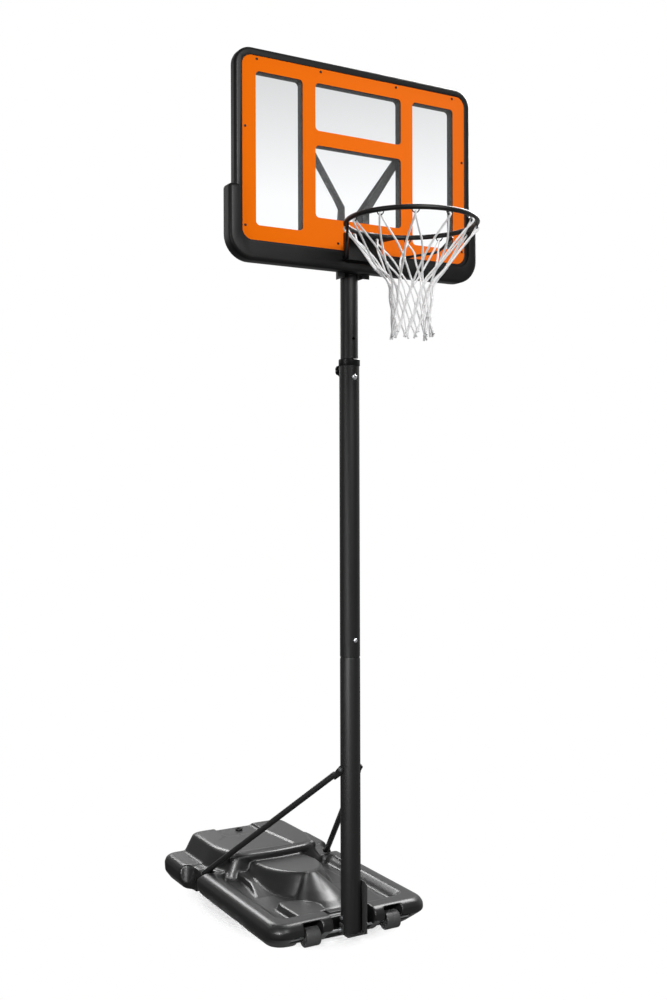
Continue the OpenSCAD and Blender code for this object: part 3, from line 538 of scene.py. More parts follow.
# Name, place, target, width, height, power in watts, spread of the beam in degrees
LAMPS = [("key", (-0.4, -5.2, 4.6), (0, -0.2, 2.9), 2.0, 2.0, 42, 80),
         ("fill", (-4.2, -1.4, 2.2), (0, 0, 2.1), 0.8, 2.4, 5, 60),
         ("overhead", (2.4, 0.8, 4.3), (0, 0.3, 0), 2.4, 2.4, 320, 180),
         ("side", (-2.6, 3.2, 3.6), (0, 0, 2.4), 1.6, 2.4, 15, 180),
         ("back", (0.2, 4.6, 3.2), (0, 0.3, 0.1), 2.4, 1.0, 13, 60),
         ("low", (-3.0, -2.4, 1.9), (0, 0.45, 0.1), 1.0, 1.0, 12, 50)]


def place_camera():
    """The camera at the photo's angle."""
    data = bpy.data.cameras.new("photo_camera")
    data.sensor_fit = "VERTICAL"
    data.sensor_height = SENSOR_HEIGHT
    data.lens = SENSOR_HEIGHT * FOCAL_SHARE
    camera = bpy.data.objects.new("photo_camera", data)
    bpy.context.scene.collection.objects.link(camera)
    heading = Matrix.Rotation(CAMERA_YAW, 4, "Z") @ Matrix.Rotation(pi / 2 + CAMERA_PITCH, 4, "X")
    turn = heading @ Matrix.Rotation(CAMERA_ROLL, 4, "Z")
    camera.matrix_world = Matrix.Translation(CAMERA_PLACE) @ turn
    bpy.context.scene.camera = camera


def softbox(name, place, target, width, height, power, spread):
    """A rectangular lamp turned to its target."""
    data = bpy.data.lights.new(name, "AREA")
    data.shape = "RECTANGLE"
    data.size, data.size_y = width, height
    data.energy = power
    data.spread = radians(spread)
    lamp = bpy.data.objects.new(name, data)
    lamp.location = place
    lamp.visible_camera = False
    lamp.rotation_euler = (Vector(target) - Vector(place)).to_track_quat("-Z", "Y").to_euler()
    bpy.context.scene.collection.objects.link(lamp)


def light_studio():
    """White studio, dim on the left; the backdrop behind the clear sheet pales towards the floor."""
    world = bpy.data.worlds.new("studio")
    world.use_nodes = True
    bpy.context.scene.world = world
    sky = NodeBench(world.node_tree)
    heading = sky.add("TexCoord", output="Generated")
    east, north, height = (sky.part(heading, axis) for axis in "XYZ")
    across = sky.mask(east * 0.5 + 0.5, 0.3, 0.8)
    along = sky.mask(east * 0.3 + north * 0.3 + 0.5, 0.6, 0.88)
    level = sky.mask(height + 0.5, 0.25, 0.55)
    rise = sky.mask(height, 0.25, 0.34)
    lower = sky.blend(across, grey(0.04), grey(0.25))
    upper = sky.blend(along, grey(0.15), grey(0.6))
    room = sky.add("Background", {"Color": sky.blend(level, lower, upper)})
    backdrop = sky.add("Background", {"Color": sky.blend(rise, grey(1.06), grey(0.76))})
    white = sky.add("Background", {"Color": grey(1.0)})
    through = sky.add("LightPath", output="Is Transmission Ray")
    straight = sky.add("LightPath", output="Is Camera Ray")
    unseen = sky.add("MixShader", {0: through, 1: room, 2: backdrop})
    seen = sky.add("MixShader", {0: straight, 1: unseen, 2: white})
    sky.feed(sky.tree.nodes["World Output"].inputs["Surface"], seen)
    for lamp in LAMPS:
        softbox(*lamp)
    bpy.context.scene.view_settings.view_transform = "Standard"


FLOOR_RADIUS = 1.6
FLOOR_SPREAD = (1 / 0.75, 1 / 1.1, 1.0)


def lay_floor():
    """A pale floor round the base that fades into the white studio."""
    middle = (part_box("tank")[0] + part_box("tank")[1]) / 2
    finish = Finish("studio_floor")
    shade = finish.blend(finish.noise(scale=0.7, detail=2.0), grey(0.93), grey(0.96))
    shift = (0, -middle.y * FLOOR_SPREAD[1], 0)
    spread = finish.add("Mapping", {"Vector": finish.place, "Scale": FLOOR_SPREAD, "Location": shift})
    reach = finish.add("VectorMath", {0: spread}, output="Value", operation="LENGTH")
    finish.surface(Base_Color=shade, Roughness=0.9, Alpha=1 - finish.mask(reach, 0.25, 0.56))
    bpy.ops.mesh.primitive_circle_add(vertices=96, radius=FLOOR_RADIUS, fill_type="NGON",
                                      location=(0, middle.y, 0))
    floor = settle(named("studio_floor"))
    floor.data.materials.append(finish.material)


# Base

# Levels of moulded forms: height, half width, front, back, corner radius
TANK_RAIL = [(0, 314, 52, 742, 60), (8, 324, 40, 752, 64), (40, 352, 0, 766, 72), (64, 358, -34, 768, 74),
             (88, 357, -33, 768, 74), (104, 347, -23, 764, 68), (112, 336, -11, 757, 60),
             (115, 326, 0, 750, 54)]
TANK_WAIST = [(0, 322, 670, 850, 10), (107, 322, 670, 850, 10)]
TANK_LOBES = [(0, 340, 846, 1056, 42), (8, 352, 834, 1066, 46), (42, 376, 822, 1083, 53),
              (80, 378, 820, 1085, 54), (100, 371, 828, 1078, 50), (112, 356, 844, 1062, 40)]
DECK_HOLLOW = [(82, 254, 86, 672, 34), (98, 268, 74, 672, 40), (116, 292, 52, 672, 50),
               (130, 306, 38, 672, 56)]
CAP_RECESS = [(176, 90, 938, 1120, 20), (200, 110, 918, 1120, 30)]
CAP_RECESS_X = -20

# Height, half width, half width of the front, front, start of the taper, back
HUMP_LEVELS = [(70, 297, 242, 637, 785, 1083), (172, 241, 196, 655, 801, 1080),
               (181, 236, 190, 659, 803, 1077), (188, 224, 178, 670, 808, 1066)]
HUMP_CORNER = 46
HUMP_PANEL = [(112, 676), (84, 950), (-110, 950), (-200, 870), (-200, 815), (-166, 690)]
PANEL_DEPTH, PANEL_CORNER = 6, 18

# Height, half width, tip
DOME_LEVELS = [(72, 172, 262), (100, 160, 278), (140, 143, 302), (168, 130, 320), (176, 124, 327),
               (179, 115, 335)]
DOME_MIDDLE, DOME_BACK = 570, 700
DOME_TIP, DOME_SHOULDER, DOME_FALL = 330, 140, 0.09

PLATFORM_FOOT = [(232, 378), (198, 520), (198, 700), (-198, 700), (-198, 520), (-232, 378)]
PLATFORM_EDGE = [(224, 390), (192, 520), (192, 700), (-192, 700), (-192, 520), (-224, 390)]
PLATFORM_HEIGHTS = (70, 82, 114, 116)
PLATFORM_CREST, PLATFORM_SHOULDER, PLATFORM_FALL = 610, 100, 0.15

# Height, middle, radius
FLUTE_LEVELS = [(74, 230, 116), (84, 236, 108), (106, 248, 90), (131, 273, 68), (160, 311, 40),
                (178, 331, 18)]
STEP_OUTLINE = [(62, 58), (205, 58), (212, 215), (203, 252), (118, 246), (50, 150)]
STEP_CORNER, STEP_FOOT = 16, 70
STEP_LEVELS = [(98, 0.98), (107, 0.9)]
LIP_PATH = [(-195, 692, 164), (-150, 662, 167), (0, 645, 168), (150, 662, 167), (195, 692, 164)]
LIP_RADIUS, LIP_BEND = 19, 60
LIP_END = [(0, -26), (17, -20), (23, 0), (17, 20), (0, 26)]
LOBE_SCOOP = [(0, 8), (26, 8), (58, 130), (0, 130)]
LOBE_SCOOP_X, LOBE_SCOOP_Y = 375, 812

STRUT_TOP, STRUT_FOOT, STRUT_FOOT_Y = 678, 62, 795
CHANNEL_OUTLINE = [(380, 818), (322, 818), (322, 781), (298, 771), (271, 698), (380, 698)]
CHANNEL_TOP, CHANNEL_FLOOR, CHANNEL_SLOPE = 230, 32, 0.775

# Blocks cut out, from one corner to the other
WHEEL_POCKET = (142, -80, -10), (224, 66, 105)
AXLE_GROOVE = (222, -80, 28), (268, 13, 64)
POLE_SLOT = (-96, -80, -10), (96, 50, 140)
POLE_SHELF = (-96, 0, 82), (96, 74, 140)
UNDERSIDE = (-500, 280, -10), (500, 812, 15)

FORMS_VOXEL, SKIN_VOXEL = 4.5, 4


def circle_points(y, radius, count=40):
    turns = [i * 2 * pi / count for i in range(count)]
    return [(radius * cos(turn), y + radius * sin(turn)) for turn in turns]


def nose_points(half, tip, count=36):
    """Half an ellipse towards the pole, with straight sides that run back into the hump."""
    arc = [i * pi / count for i in range(count + 1)]
    nose = [(half * cos(turn), DOME_MIDDLE - (DOME_MIDDLE - tip) * sin(turn)) for turn in arc]
    return nose + [(-half, DOME_BACK), (half, DOME_BACK)]


def hump_points(half, nose, front, taper, back):
    """The hump from above, which narrows towards its lip."""
    corners = [(half, back), (-half, back), (-half, taper), (-nose, front), (nose, front), (half, taper)]
    return rounded_outline(corners, HUMP_CORNER)


def drawn_in(points, share):
    """An outline drawn in towards its middle."""
    middle_x = sum(x for x, y in points) / len(points)
    middle_y = sum(y for x, y in points) / len(points)
    return [(middle_x + (x - middle_x) * share, middle_y + (y - middle_y) * share) for x, y in points]


def mirrored(points):
    return [(-x, y) for x, y in reversed(points)]


def behind_pole(vertex):
    """How far a vertex lies behind the pole, in millimetres."""
    return (vertex.co.y - POLE_Y) / MM


def sloped(piece, shoulder, fall):
    """Lowers a form above its shoulder, by a fall that depends on the place behind the pole."""
    for vertex in piece.data.vertices:
        if vertex.co.z > shoulder * MM:
            vertex.co.z -= max(0, fall(behind_pole(vertex))) * MM
    return piece


def dome_form():
    """The dome, whose top falls a little from its nose towards the hump."""
    dome = stacked("dome", [(z, nose_points(half, tip)) for z, half, tip in DOME_LEVELS])
    return sloped(dome, DOME_SHOULDER, lambda behind: (behind - DOME_TIP) * DOME_FALL)


def platform_form():
    """The platform round the dome, which slopes down to the deck towards the pole."""
    outlines = (PLATFORM_FOOT, PLATFORM_FOOT, PLATFORM_EDGE, drawn_in(PLATFORM_EDGE, 0.98))
    platform = stacked("platform", zip(PLATFORM_HEIGHTS, outlines))
    return sloped(platform, PLATFORM_SHOULDER, lambda behind: (PLATFORM_CREST - behind) * PLATFORM_FALL)


def tank_body():
    """The raised forms of the tank, fused into one skin."""
    rail = moulded("rail", TANK_RAIL)
    carve(rail, moulded("deck_hollow", DECK_HOLLOW))
    forms = [rail, moulded("waist", TANK_WAIST), moulded("lobes", TANK_LOBES)]
    forms.append(stacked("hump", [(z, hump_points(*sizes)) for z, *sizes in HUMP_LEVELS]))
    forms.append(dome_form())
    forms.append(platform_form())
    forms.append(stacked("flute", [(z, circle_points(y, radius)) for z, y, radius in FLUTE_LEVELS]))
    for outline in (STEP_OUTLINE, mirrored(STEP_OUTLINE)):
        smooth = rounded_outline(outline, STEP_CORNER)
        levels = [(z, drawn_in(smooth, share)) for z, share in STEP_LEVELS]
        forms.append(stacked("step", [(STEP_FOOT, smooth), *levels]))
    lip = rounded_path([at(*place) for place in LIP_PATH], LIP_BEND * MM, steps=8)
    forms.append(rod_along("lip", lip, LIP_RADIUS))
    for end in (lip[0], lip[-1]):
        forms.append(turned("lip_end", LIP_END, end, "X", steps=24, rounding=6))
    body = joined("tank_shell", forms)
    return shape(body, "REMESH", mode="VOXEL", voxel_size=FORMS_VOXEL * MM)


def panel_form():
    """The sunken panel in the hump's top: deepest along its right edge, it runs out to the left."""
    outline = rounded_outline(HUMP_PANEL, PANEL_CORNER)
    left = min(x for x, y in outline)
    right = max(x for x, y in outline)
    top = HUMP_LEVELS[-1][0]
    panel = stacked("hump_panel", [(top - PANEL_DEPTH, drawn_in(outline, 0.98)),
                                   (top + PANEL_DEPTH, outline)])
    for vertex in panel.data.vertices:
        if vertex.co.z < top * MM:
            share = (right - vertex.co.x / MM) / (right - left)
            vertex.co.z += share * PANEL_DEPTH * MM
    return panel


def strut_channel(side):
    """The sloped cut beside the waist that a strut's foot lies in."""
    outline = CHANNEL_OUTLINE if side > 0 else mirrored(CHANNEL_OUTLINE)
    cut = stacked("channel", [(0, outline), (CHANNEL_TOP, outline)])
    for vertex in cut.data.vertices:
        if vertex.co.z < CHANNEL_TOP / 2 * MM:
            ahead = STRUT_FOOT_Y - behind_pole(vertex)
            vertex.co.z = (CHANNEL_FLOOR + CHANNEL_SLOPE * ahead) * MM
    return cut


def box_cut(corners, side=1):
    """A block to cut out, mirrored to the left where side is -1."""
    (x0, y0, z0), (x1, y1, z1) = corners
    low, high = sorted((side * x0, side * x1))
    return block("box_cut", at(low, y0, z0), at(high, y1, z1))


def make_tank():
    """The blow-moulded tank with its pockets, channels and recesses cut."""
    tank = tank_body()
    cuts = [strut_channel(side) for side in (-1, 1)]
    for side in (-1, 1):
        cuts.append(box_cut(WHEEL_POCKET, side))
        cuts.append(box_cut(AXLE_GROOVE, side))
        cuts.append(turned("lobe_scoop", LOBE_SCOOP, at(side * LOBE_SCOOP_X, LOBE_SCOOP_Y, 0), "Z", steps=48))
    cuts.append(box_cut(POLE_SLOT))
    cuts.append(box_cut(POLE_SHELF))
    cuts.append(box_cut(UNDERSIDE))
    recess = moulded("cap_recess", CAP_RECESS)
    recess.data.transform(Matrix.Translation((CAP_RECESS_X * MM, 0, 0)))
    cuts.append(recess)
    cuts.append(panel_form())
    for cut in cuts:
        carve(tank, cut, solver="MANIFOLD")
    shape(tank, "REMESH", mode="VOXEL", voxel_size=SKIN_VOXEL * MM)
    shape(tank, "SMOOTH", factor=0.5, iterations=5)
    shape(tank, "DECIMATE", ratio=0.55)
    shape(tank, "SMOOTH", factor=0.5, iterations=3)
    dress(tank, TANK_FINISH, "stand", "tank_plastic", "tank", angle=60)


WHEEL_BORE, WHEEL_HUB, WHEEL_DISH = 5.1, 14, 8
TYRE_DEPTH, TYRE_SEAM = 12, 1.5
RIBS, RIB_INSET, RIB_HALF, RIB_END = 6, 1.5, 2, 12.4


def make_wheels():
    """Wheels turned with rounded shoulders, ribbed in their recessed sides."""
    for node in ("left_wheel", "right_wheel"):
        low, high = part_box(node)
        centre = (low + high) / 2
        radius = (high.z - low.z) / 2 / MM
        half = (high.x - low.x) / 2 / MM
        inner = radius - TYRE_DEPTH
        web = half - WHEEL_DISH
        flank = [(WHEEL_BORE, half), (WHEEL_HUB, half), (WHEEL_HUB + 1, web), (inner - 1, web),
                 (inner, half), (radius, half), (radius, TYRE_SEAM)]
        profile = [(r, -h) for r, h in flank] + [(radius - 1, 0)] + flank[::-1] + [(WHEEL_BORE, -half)]
        wheel = turned(node + "_tyre", profile, centre, "X", steps=72, rounding=3)
        for turn in range(RIBS):
            rib = block("rib", offset(RIB_INSET - half, -RIB_HALF, WHEEL_HUB - 1),
                        offset(half - RIB_INSET, RIB_HALF, radius - RIB_END))
            rib.rotation_euler = (turn * 2 * pi / RIBS, 0, 0)
            rib.location = centre
            carve(wheel, settle(rib), "UNION")
        dress(wheel, WHEEL_FINISH, node, "wheel_plastic", node)


CAP_SIDES, CAP_HEIGHT, CAP_NOTCH = 72, 8, 1.1
CAP_RIM, CAP_STEP, CAP_SINK = 3.5, 1.2, 2
NECK_RADIUS, NECK_LENGTH, NECK_TOP = 11.5, 12, 7.5


def make_fill_cap():
    """A screw cap with a ribbed grip and a sunken top."""
    low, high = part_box("fill_cap")
    centre = (low + high) / 2
    top = high.z / MM
    middle = Vector((centre.x, centre.y, (top - CAP_HEIGHT / 2) * MM))
    bpy.ops.mesh.primitive_cylinder_add(vertices=CAP_SIDES, radius=(high.x - low.x) / 2,
                                        depth=CAP_HEIGHT * MM, location=middle)
    cap = settle(named("fill_cap_lid"))
    for vertex in cap.data.vertices:
        across = Vector((vertex.co.x - centre.x, vertex.co.y - centre.y, 0))
        step = round(atan2(across.y, across.x) / (2 * pi / CAP_SIDES))
        if step % 3 == 0:
            vertex.co -= across.normalized() * CAP_NOTCH * MM
    with editing(cap, "FACE"):
        bpy.ops.mesh.select_all(action="DESELECT")
    for polygon in cap.data.polygons:
        polygon.select = polygon.normal.z > 0.9
    with editing(cap, "FACE"):
        bpy.ops.mesh.inset(thickness=CAP_RIM * MM)
        bpy.ops.mesh.inset(thickness=CAP_STEP * MM, depth=-CAP_SINK * MM)
    place = Vector((centre.x, centre.y, (top - NECK_TOP) * MM))
    carve(cap, turned("neck", drum(NECK_RADIUS, -NECK_LENGTH, 0), place, "Z", steps=48), "UNION")
    soften(cap, width=0.8, segments=2, angle=40)
    dress(cap, CAP_FINISH, "fill_cap", "cap_plastic", "fill_cap")


# Pole

TUBE_STEPS = 96
TUBE_WALL, MAST_WALL, SWAGE_GAP = 2, 1.8, 0.2
SHOULDER_LENGTH, SHOULDER_DROP, SEAM_GAP = 10, 2.5, 0.5
HOLE_RADIUS, HOLE_DEPTH, HOLE_PITCH = 6, 60, 152.4
COLLAR_BORE, COLLAR_GAP, COLLAR_LIP = 35.1, 0.1, 6


def on_pole(name, profile):
    """A piece turned round the pole's axis."""
    return turned(name, profile, POLE_AXIS, "Z", TUBE_STEPS)


def make_tubes():
    """The three tubes, with rolled ends; the lower one has the sloped shoulder that shows at the seam."""
    low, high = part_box("lower_tube")
    radius = (high.x - low.x) / 2 / MM
    bottom, top = low.z / MM, high.z / MM
    seam, high_end = (corner.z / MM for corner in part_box("middle_tube"))
    inner = radius - TUBE_WALL
    bore = inner - TUBE_WALL
    swage = inner - SWAGE_GAP
    lower = on_pole("lower_tube_coated", [
        (bore, bottom), (radius - 1, bottom), (radius, bottom + 1), (radius, seam - SHOULDER_LENGTH),
        (radius - SHOULDER_DROP, seam - SEAM_GAP - 0.1), (swage, seam - SEAM_GAP), (swage, top),
        (swage - TUBE_WALL, top), (bore, bottom)])
    dress(lower, POLE_FINISH, "stand", "pole_paint", "lower_tube")
    middle = on_pole("middle_tube_coated", [
        (inner, seam), (radius - 0.8, seam), (radius, seam + 0.8), (radius, high_end - 1),
        (radius - 1, high_end), (inner, high_end), (inner, seam)])
    dress(middle, POLE_FINISH, "stand", "pole_paint", "middle_tube")
    low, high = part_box("upper_tube")
    radius = (high.x - low.x) / 2 / MM
    bottom, top = low.z / MM, high.z / MM
    inner = radius - MAST_WALL
    mast = on_pole("upper_tube_coated", [
        (inner, bottom), (radius, bottom), (radius, top - 1), (radius - 1, top), (inner, top),
        (inner, bottom)])
    lock_low, lock_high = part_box("lock_bolt")
    lock_z = (lock_low.z + lock_high.z) / 2 / MM
    for step in range(-2, 2):
        place = at(0, -HOLE_DEPTH - 10, lock_z + step * HOLE_PITCH)
        carve(mast, turned("index_hole", drum(HOLE_RADIUS, 0, HOLE_DEPTH), place, "Y", steps=32))
    dress(mast, POLE_FINISH, "mast", "pole_paint", "upper_tube")


def make_collar():
    """The guide collar on top of the middle tube."""
    low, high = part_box("collar")
    outer = (high.x - low.x) / 2 / MM
    skirt, top = low.z / MM, high.z / MM
    tube_low, tube_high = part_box("middle_tube")
    inner = (tube_high.x - tube_low.x) / 2 / MM + COLLAR_GAP
    under = top - COLLAR_LIP
    collar = on_pole("collar_ring", [
        (inner, skirt), (outer - 0.6, skirt), (outer, skirt + 1), (outer, top - 3), (outer - 2.5, top),
        (COLLAR_BORE + 1, top), (COLLAR_BORE, top - 1), (COLLAR_BORE, under), (inner, under), (inner, skirt)])
    dress(collar, CAP_FINISH, "stand", "cap_plastic", "collar")


BOLT_SHANK = 5
SOCKET = [(0, -2), (4.4, -2), (4.4, 3), (0, 4)]


def make_pan_bolt(node, head):
    """A round-headed bolt with a hexagon socket, its head of a given height towards the front."""
    low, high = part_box(node)
    centre = (low + high) / 2
    radius = (high.x - low.x) / 2 / MM
    length = (high.y - low.y) / MM
    face = Vector((centre.x, low.y, centre.z))
    profile = [(0, 0), (radius * 0.5, 0.1), (radius * 0.85, head * 0.35), (radius, head * 0.85),
               (radius, head), (BOLT_SHANK, head), (BOLT_SHANK, length), (0, length)]
    bolt = turned(node + "_head", profile, face, "Y", steps=48)
    carve(bolt, turned("socket", SOCKET, face, "Y", steps=6))
    dress(bolt, ZINC_FINISH, "stand", "zinc_hardware", node)


KNOB_LOBES, GROOVE_SHARE, GROOVE_PLACE = 6, 0.3, 1.12


def make_knob():
    """A lobed hand knob with a domed face."""
    low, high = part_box("clamp_knob")
    centre = (low + high) / 2
    radius = (high.z - low.z) / 2 / MM
    depth = (high.y - low.y) / MM
    profile = [(0, 0), (9, 0), (9.5, 4), (radius - 1.5, 6), (radius, 9), (radius, depth - 6),
               (radius - 3, depth - 2), (radius * 0.5, depth), (0, depth)]
    knob = turned("clamp_knob_grip", profile, Vector((centre.x, low.y, centre.z)), "Y", steps=72, rounding=2)
    for lobe in range(KNOB_LOBES):
        angle = lobe * 2 * pi / KNOB_LOBES
        place = centre + Vector((cos(angle), 0, sin(angle))) * radius * GROOVE_PLACE * MM
        carve(knob, turned("groove", drum(radius * GROOVE_SHARE, -30, 30), place, "Y", steps=24))
    soften(knob, width=1.0, segments=2, angle=40)
    dress(knob, CAP_FINISH, "clamp_knob", "cap_plastic", "clamp_knob")


STRUT_RADIUS, STRUT_END, STRUT_INSET = 12.5, 40, 2
TAB_RADIUS, TAB_STEPS, TAB_THICKNESS = 15.5, 12, 4
TAB_SHOULDER, TAB_LENGTH, TAB_ROOT_HALF = 36, 72, 10


def make_struts():
    """Strut tubes whose flattened ends are bolted to the pole and the tank."""
    for side, hand in SIDES:
        node = hand + "_strut"
        low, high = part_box(node)
        near, far = sorted((abs(low.x), abs(high.x)))
        start = at(side * (near / MM + STRUT_INSET), 0, STRUT_TOP)
        end = at(side * (far / MM - STRUT_INSET), STRUT_FOOT_Y, STRUT_FOOT)
        along = (end - start).normalized()
        path = [start + along * STRUT_END * MM, end - along * STRUT_END * MM]
        body = rod_along(node + "_tube", path, STRUT_RADIUS, sides=6)
        for place, heading in ((start, along), (end, -along)):
            carve(body, flattened_end(node, place, heading), "UNION")
        soften(body, width=0.6, segments=2, angle=50)
        dress(body, POLE_FINISH, "stand", "pole_paint", node)


def flattened_end(node, place, heading):
    """The pressed end of a strut: a round-ended flat that narrows into the tube."""
    slope = Vector((0, heading.y, heading.z)).normalized()
    across = Vector((1, 0, 0)).cross(slope)
    outline = []
    for step in range(TAB_STEPS + 1):
        angle = pi / 2 + step * pi / TAB_STEPS
        outline.append(slope * (TAB_RADIUS * cos(angle)) + across * (TAB_RADIUS * sin(angle)))
    outline.append(slope * TAB_SHOULDER - across * TAB_RADIUS)
    outline.append(slope * TAB_LENGTH - across * TAB_ROOT_HALF)
    outline.append(slope * TAB_LENGTH + across * TAB_ROOT_HALF)
    outline.append(slope * TAB_SHOULDER + across * TAB_RADIUS)
    bpy.ops.mesh.primitive_circle_add(vertices=len(outline), radius=1, fill_type="NGON")
    tab = named(node + "_tab")
    for vertex, point in zip(tab.data.vertices, outline):
        vertex.co = place + point * MM - offset(TAB_THICKNESS / 2, 0, 0)
    with editing(tab, "FACE"):
        choose_all()
        bpy.ops.mesh.extrude_region_move(TRANSFORM_OT_translate={"value": offset(TAB_THICKNESS, 0, 0)})
        face_out()
    return tab


# Board

# Low and high X, low and high Z of the four windows
WINDOWS = [(-445.5, -248.5, 2761, 3331), (248.5, 445.5, 2761, 3331),
           (-193.5, 193.5, 3150, 3331), (-193.5, 193.5, 2819, 3094)]
FRAME_CORNER, SHEET_CORNER, WINDOW_CORNER = 70, 40, 16
SLACK = 0.3 * MM
OVERCUT = 0.02
PAD_CORNER, FACE_CORNER, PAD_GRIP = 97, 55, 15
PAD_SPARE, PAD_REACH = 0.3, 0.1
BRACKET_HALF, BRACKET_FOOT, BRACKET_SINK = 84, 2659, 3.3
ARM_HALF, ARM_FOOT = 83, 2500
ROOM_FRONT, ROOM_BACK, ROOM_TOP = -200, 100, 2900


def make_frame():
    """The moulded frame, with the sheet's rebate and four windows."""
    low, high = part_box("board_frame")
    sheet_low, sheet_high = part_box("board_sheet")
    shell = plate("board_frame_shell", low, high, FRAME_CORNER, segments=14)
    soften(shell, width=12, segments=5, angle=40)
    rebate_low = Vector((sheet_low.x - SLACK, low.y - OVERCUT, sheet_low.z - SLACK))
    rebate_high = Vector((sheet_high.x + SLACK, sheet_high.y, sheet_high.z + SLACK))
    carve(shell, plate("rebate", rebate_low, rebate_high, SHEET_CORNER, segments=10))
    for x0, x1, z0, z1 in WINDOWS:
        opening = plate("window", Vector((x0 * MM, low.y - OVERCUT, z0 * MM)),
                        Vector((x1 * MM, high.y + OVERCUT, z1 * MM)), WINDOW_CORNER, segments=8)
        carve(shell, opening)
    soften(shell, width=1.2, segments=2, angle=50)
    dress(shell, FRAME_FINISH, "mast", "frame_plastic", "board_frame")


def make_pad():
    """The moulded pad that grips the board's lower edge and corners."""
    low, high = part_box("edge_pad")
    frame_low, frame_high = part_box("board_frame")
    spare = Vector((0, 0, PAD_SPARE))
    pad = plate("edge_pad_moulded", low, high + spare, PAD_CORNER, segments=14)
    deep = Vector((0, PAD_REACH, 0))
    carve(pad, block("upper_half", Vector((-1, low.y, high.z)) - deep,
                     Vector((1, high.y, high.z + 1)) + deep))
    soften(pad, width=15, segments=5, angle=40)
    slack = Vector((SLACK, SLACK, SLACK))
    carve(pad, plate("frame_room", frame_low - slack, frame_high + slack, FRAME_CORNER, segments=14))
    inset = offset(PAD_GRIP, 0, PAD_GRIP) - deep
    carve(pad, plate("face_room", frame_low + inset, frame_high - inset, FACE_CORNER, segments=12))
    carve(pad, block("bracket_room", at(-BRACKET_HALF, ROOM_FRONT, BRACKET_FOOT),
                     Vector((BRACKET_HALF * MM, frame_low.y + BRACKET_SINK * MM, ROOM_TOP * MM))))
    carve(pad, block("arm_room", Vector((-ARM_HALF * MM, frame_high.y - SLACK, ARM_FOOT * MM)),
                     at(ARM_HALF, ROOM_BACK, ROOM_TOP)))
    soften(pad, width=2.5, segments=3, angle=50)
    dress(pad, PAD_FINISH, "mast", "pad_plastic", "edge_pad")


# Width of the broken edges, finish, body, slot, nodes
PRESSED_PARTS = [
    (1.0, ARM_FINISH, "mast", "pole_paint", "left_arm right_arm"),
    (1.2, RIM_FINISH, "mast", "rim_paint", "rim_bracket"),
    (1.0, ARM_FINISH, "stand", "pole_paint", "foot_bracket"),
    (0.8, ZINC_FINISH, "stand", "zinc_hardware", "foot_bolt strut_top_bolt"),
    (0.8, OXIDE_FINISH, "stand", "black_hardware", "strut_foot_bolts"),
    (0.8, ZINC_FINISH, "mast", "zinc_hardware", "arm_bolts"),
    (0.8, OXIDE_FINISH, "mast", "black_hardware", "rim_bolts"),
    (0.6, ZINC_FINISH, "stand", "zinc_hardware", "foot_nut joint_nut axle_nuts"),
    (0.6, OXIDE_FINISH, "stand", "black_hardware", "strut_top_nut"),
    (0.6, ZINC_FINISH, "mast", "zinc_hardware", "arm_nuts rim_nuts"),
    (0.6, POLE_FINISH, "stand", "pole_paint", "clamp_nut")]


def make_pressed_parts():
    """Screw heads, plates, brackets, bolts and nuts with their edges broken."""
    heads = pressed_copy("sheet_screws", width=1.0, segments=3)
    dress(heads, OXIDE_FINISH, "mast", "black_hardware", "sheet_screws")
    for width, finish, body, slot, names in PRESSED_PARTS:
        for node in names.split():
            dress(pressed_copy(node, width), finish, body, slot, node)


# Rim and net

RING_LOW, RING_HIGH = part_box("rim_ring")
RING_CENTRE = (RING_LOW + RING_HIGH) / 2
ROD_RADIUS = (RING_HIGH.z - RING_LOW.z) / 2 / MM
RING_RADIUS = (RING_HIGH.x - RING_LOW.x) / 2 / MM - ROD_RADIUS
WELD_TURN, WELD_WIDTH, WELD_HEIGHT = 90, 1.2, 0.8


def make_ring():
    """The rod bent into a ring, with the bead of the weld that closes it."""
    bpy.ops.mesh.primitive_torus_add(major_segments=160, minor_segments=28, major_radius=RING_RADIUS * MM,
                                     minor_radius=ROD_RADIUS * MM, location=RING_CENTRE)
    ring = settle(named("rim_ring_rod"))
    for vertex in ring.data.vertices:
        across = Vector((vertex.co.x - RING_CENTRE.x, vertex.co.y - RING_CENTRE.y, 0))
        turn = degrees(atan2(across.y, across.x))
        bead = exp(-((turn - WELD_TURN) / WELD_WIDTH) ** 2)
        core = RING_CENTRE + across.normalized() * RING_RADIUS * MM
        vertex.co += (vertex.co - core).normalized() * WELD_HEIGHT * MM * bead
    dress(ring, RIM_FINISH, "mast", "rim_paint", "rim_ring")


BRACE_RADIUS, BRACE_TURN, BRACE_BEND = 5, radians(16), 24
BRACE_FOOT_X, BRACE_FOOT_Y, BRACE_FOOT_RISE = 76, -101.5, 9
BRACE_BEND_IN, BRACE_BEND_BACK, BRACE_BEND_RISE = 26, 52, 8
BRACE_DROP = 4


def make_braces():
    """Bent brace rods from the bracket's foot to the ring's underside."""
    bracket_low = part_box("rim_bracket")[0]
    for side, hand in SIDES:
        node = hand + "_brace"
        start = at(side * BRACE_FOOT_X, BRACE_FOOT_Y, bracket_low.z / MM + BRACE_FOOT_RISE)
        turn = BRACE_TURN if side > 0 else pi - BRACE_TURN
        end = net_place(turn, RING_RADIUS, -ROD_RADIUS - BRACE_DROP)
        bend = end + offset(-side * BRACE_BEND_IN, BRACE_BEND_BACK, 0)
        bend.z = start.z + BRACE_BEND_RISE * MM
        path = rounded_path([start, bend, end], BRACE_BEND * MM, steps=8)
        rod = rod_along(node + "_rod", path, BRACE_RADIUS, sides=5)
        dress(rod, RIM_FINISH, "mast", "rim_paint", node)


HOOKS, HOOK_BITE, HOOK_DEPTH, HOOK_LOOP = 12, 1, 12, 6.3
HOOK_DROP = ROD_RADIUS - HOOK_BITE + HOOK_DEPTH

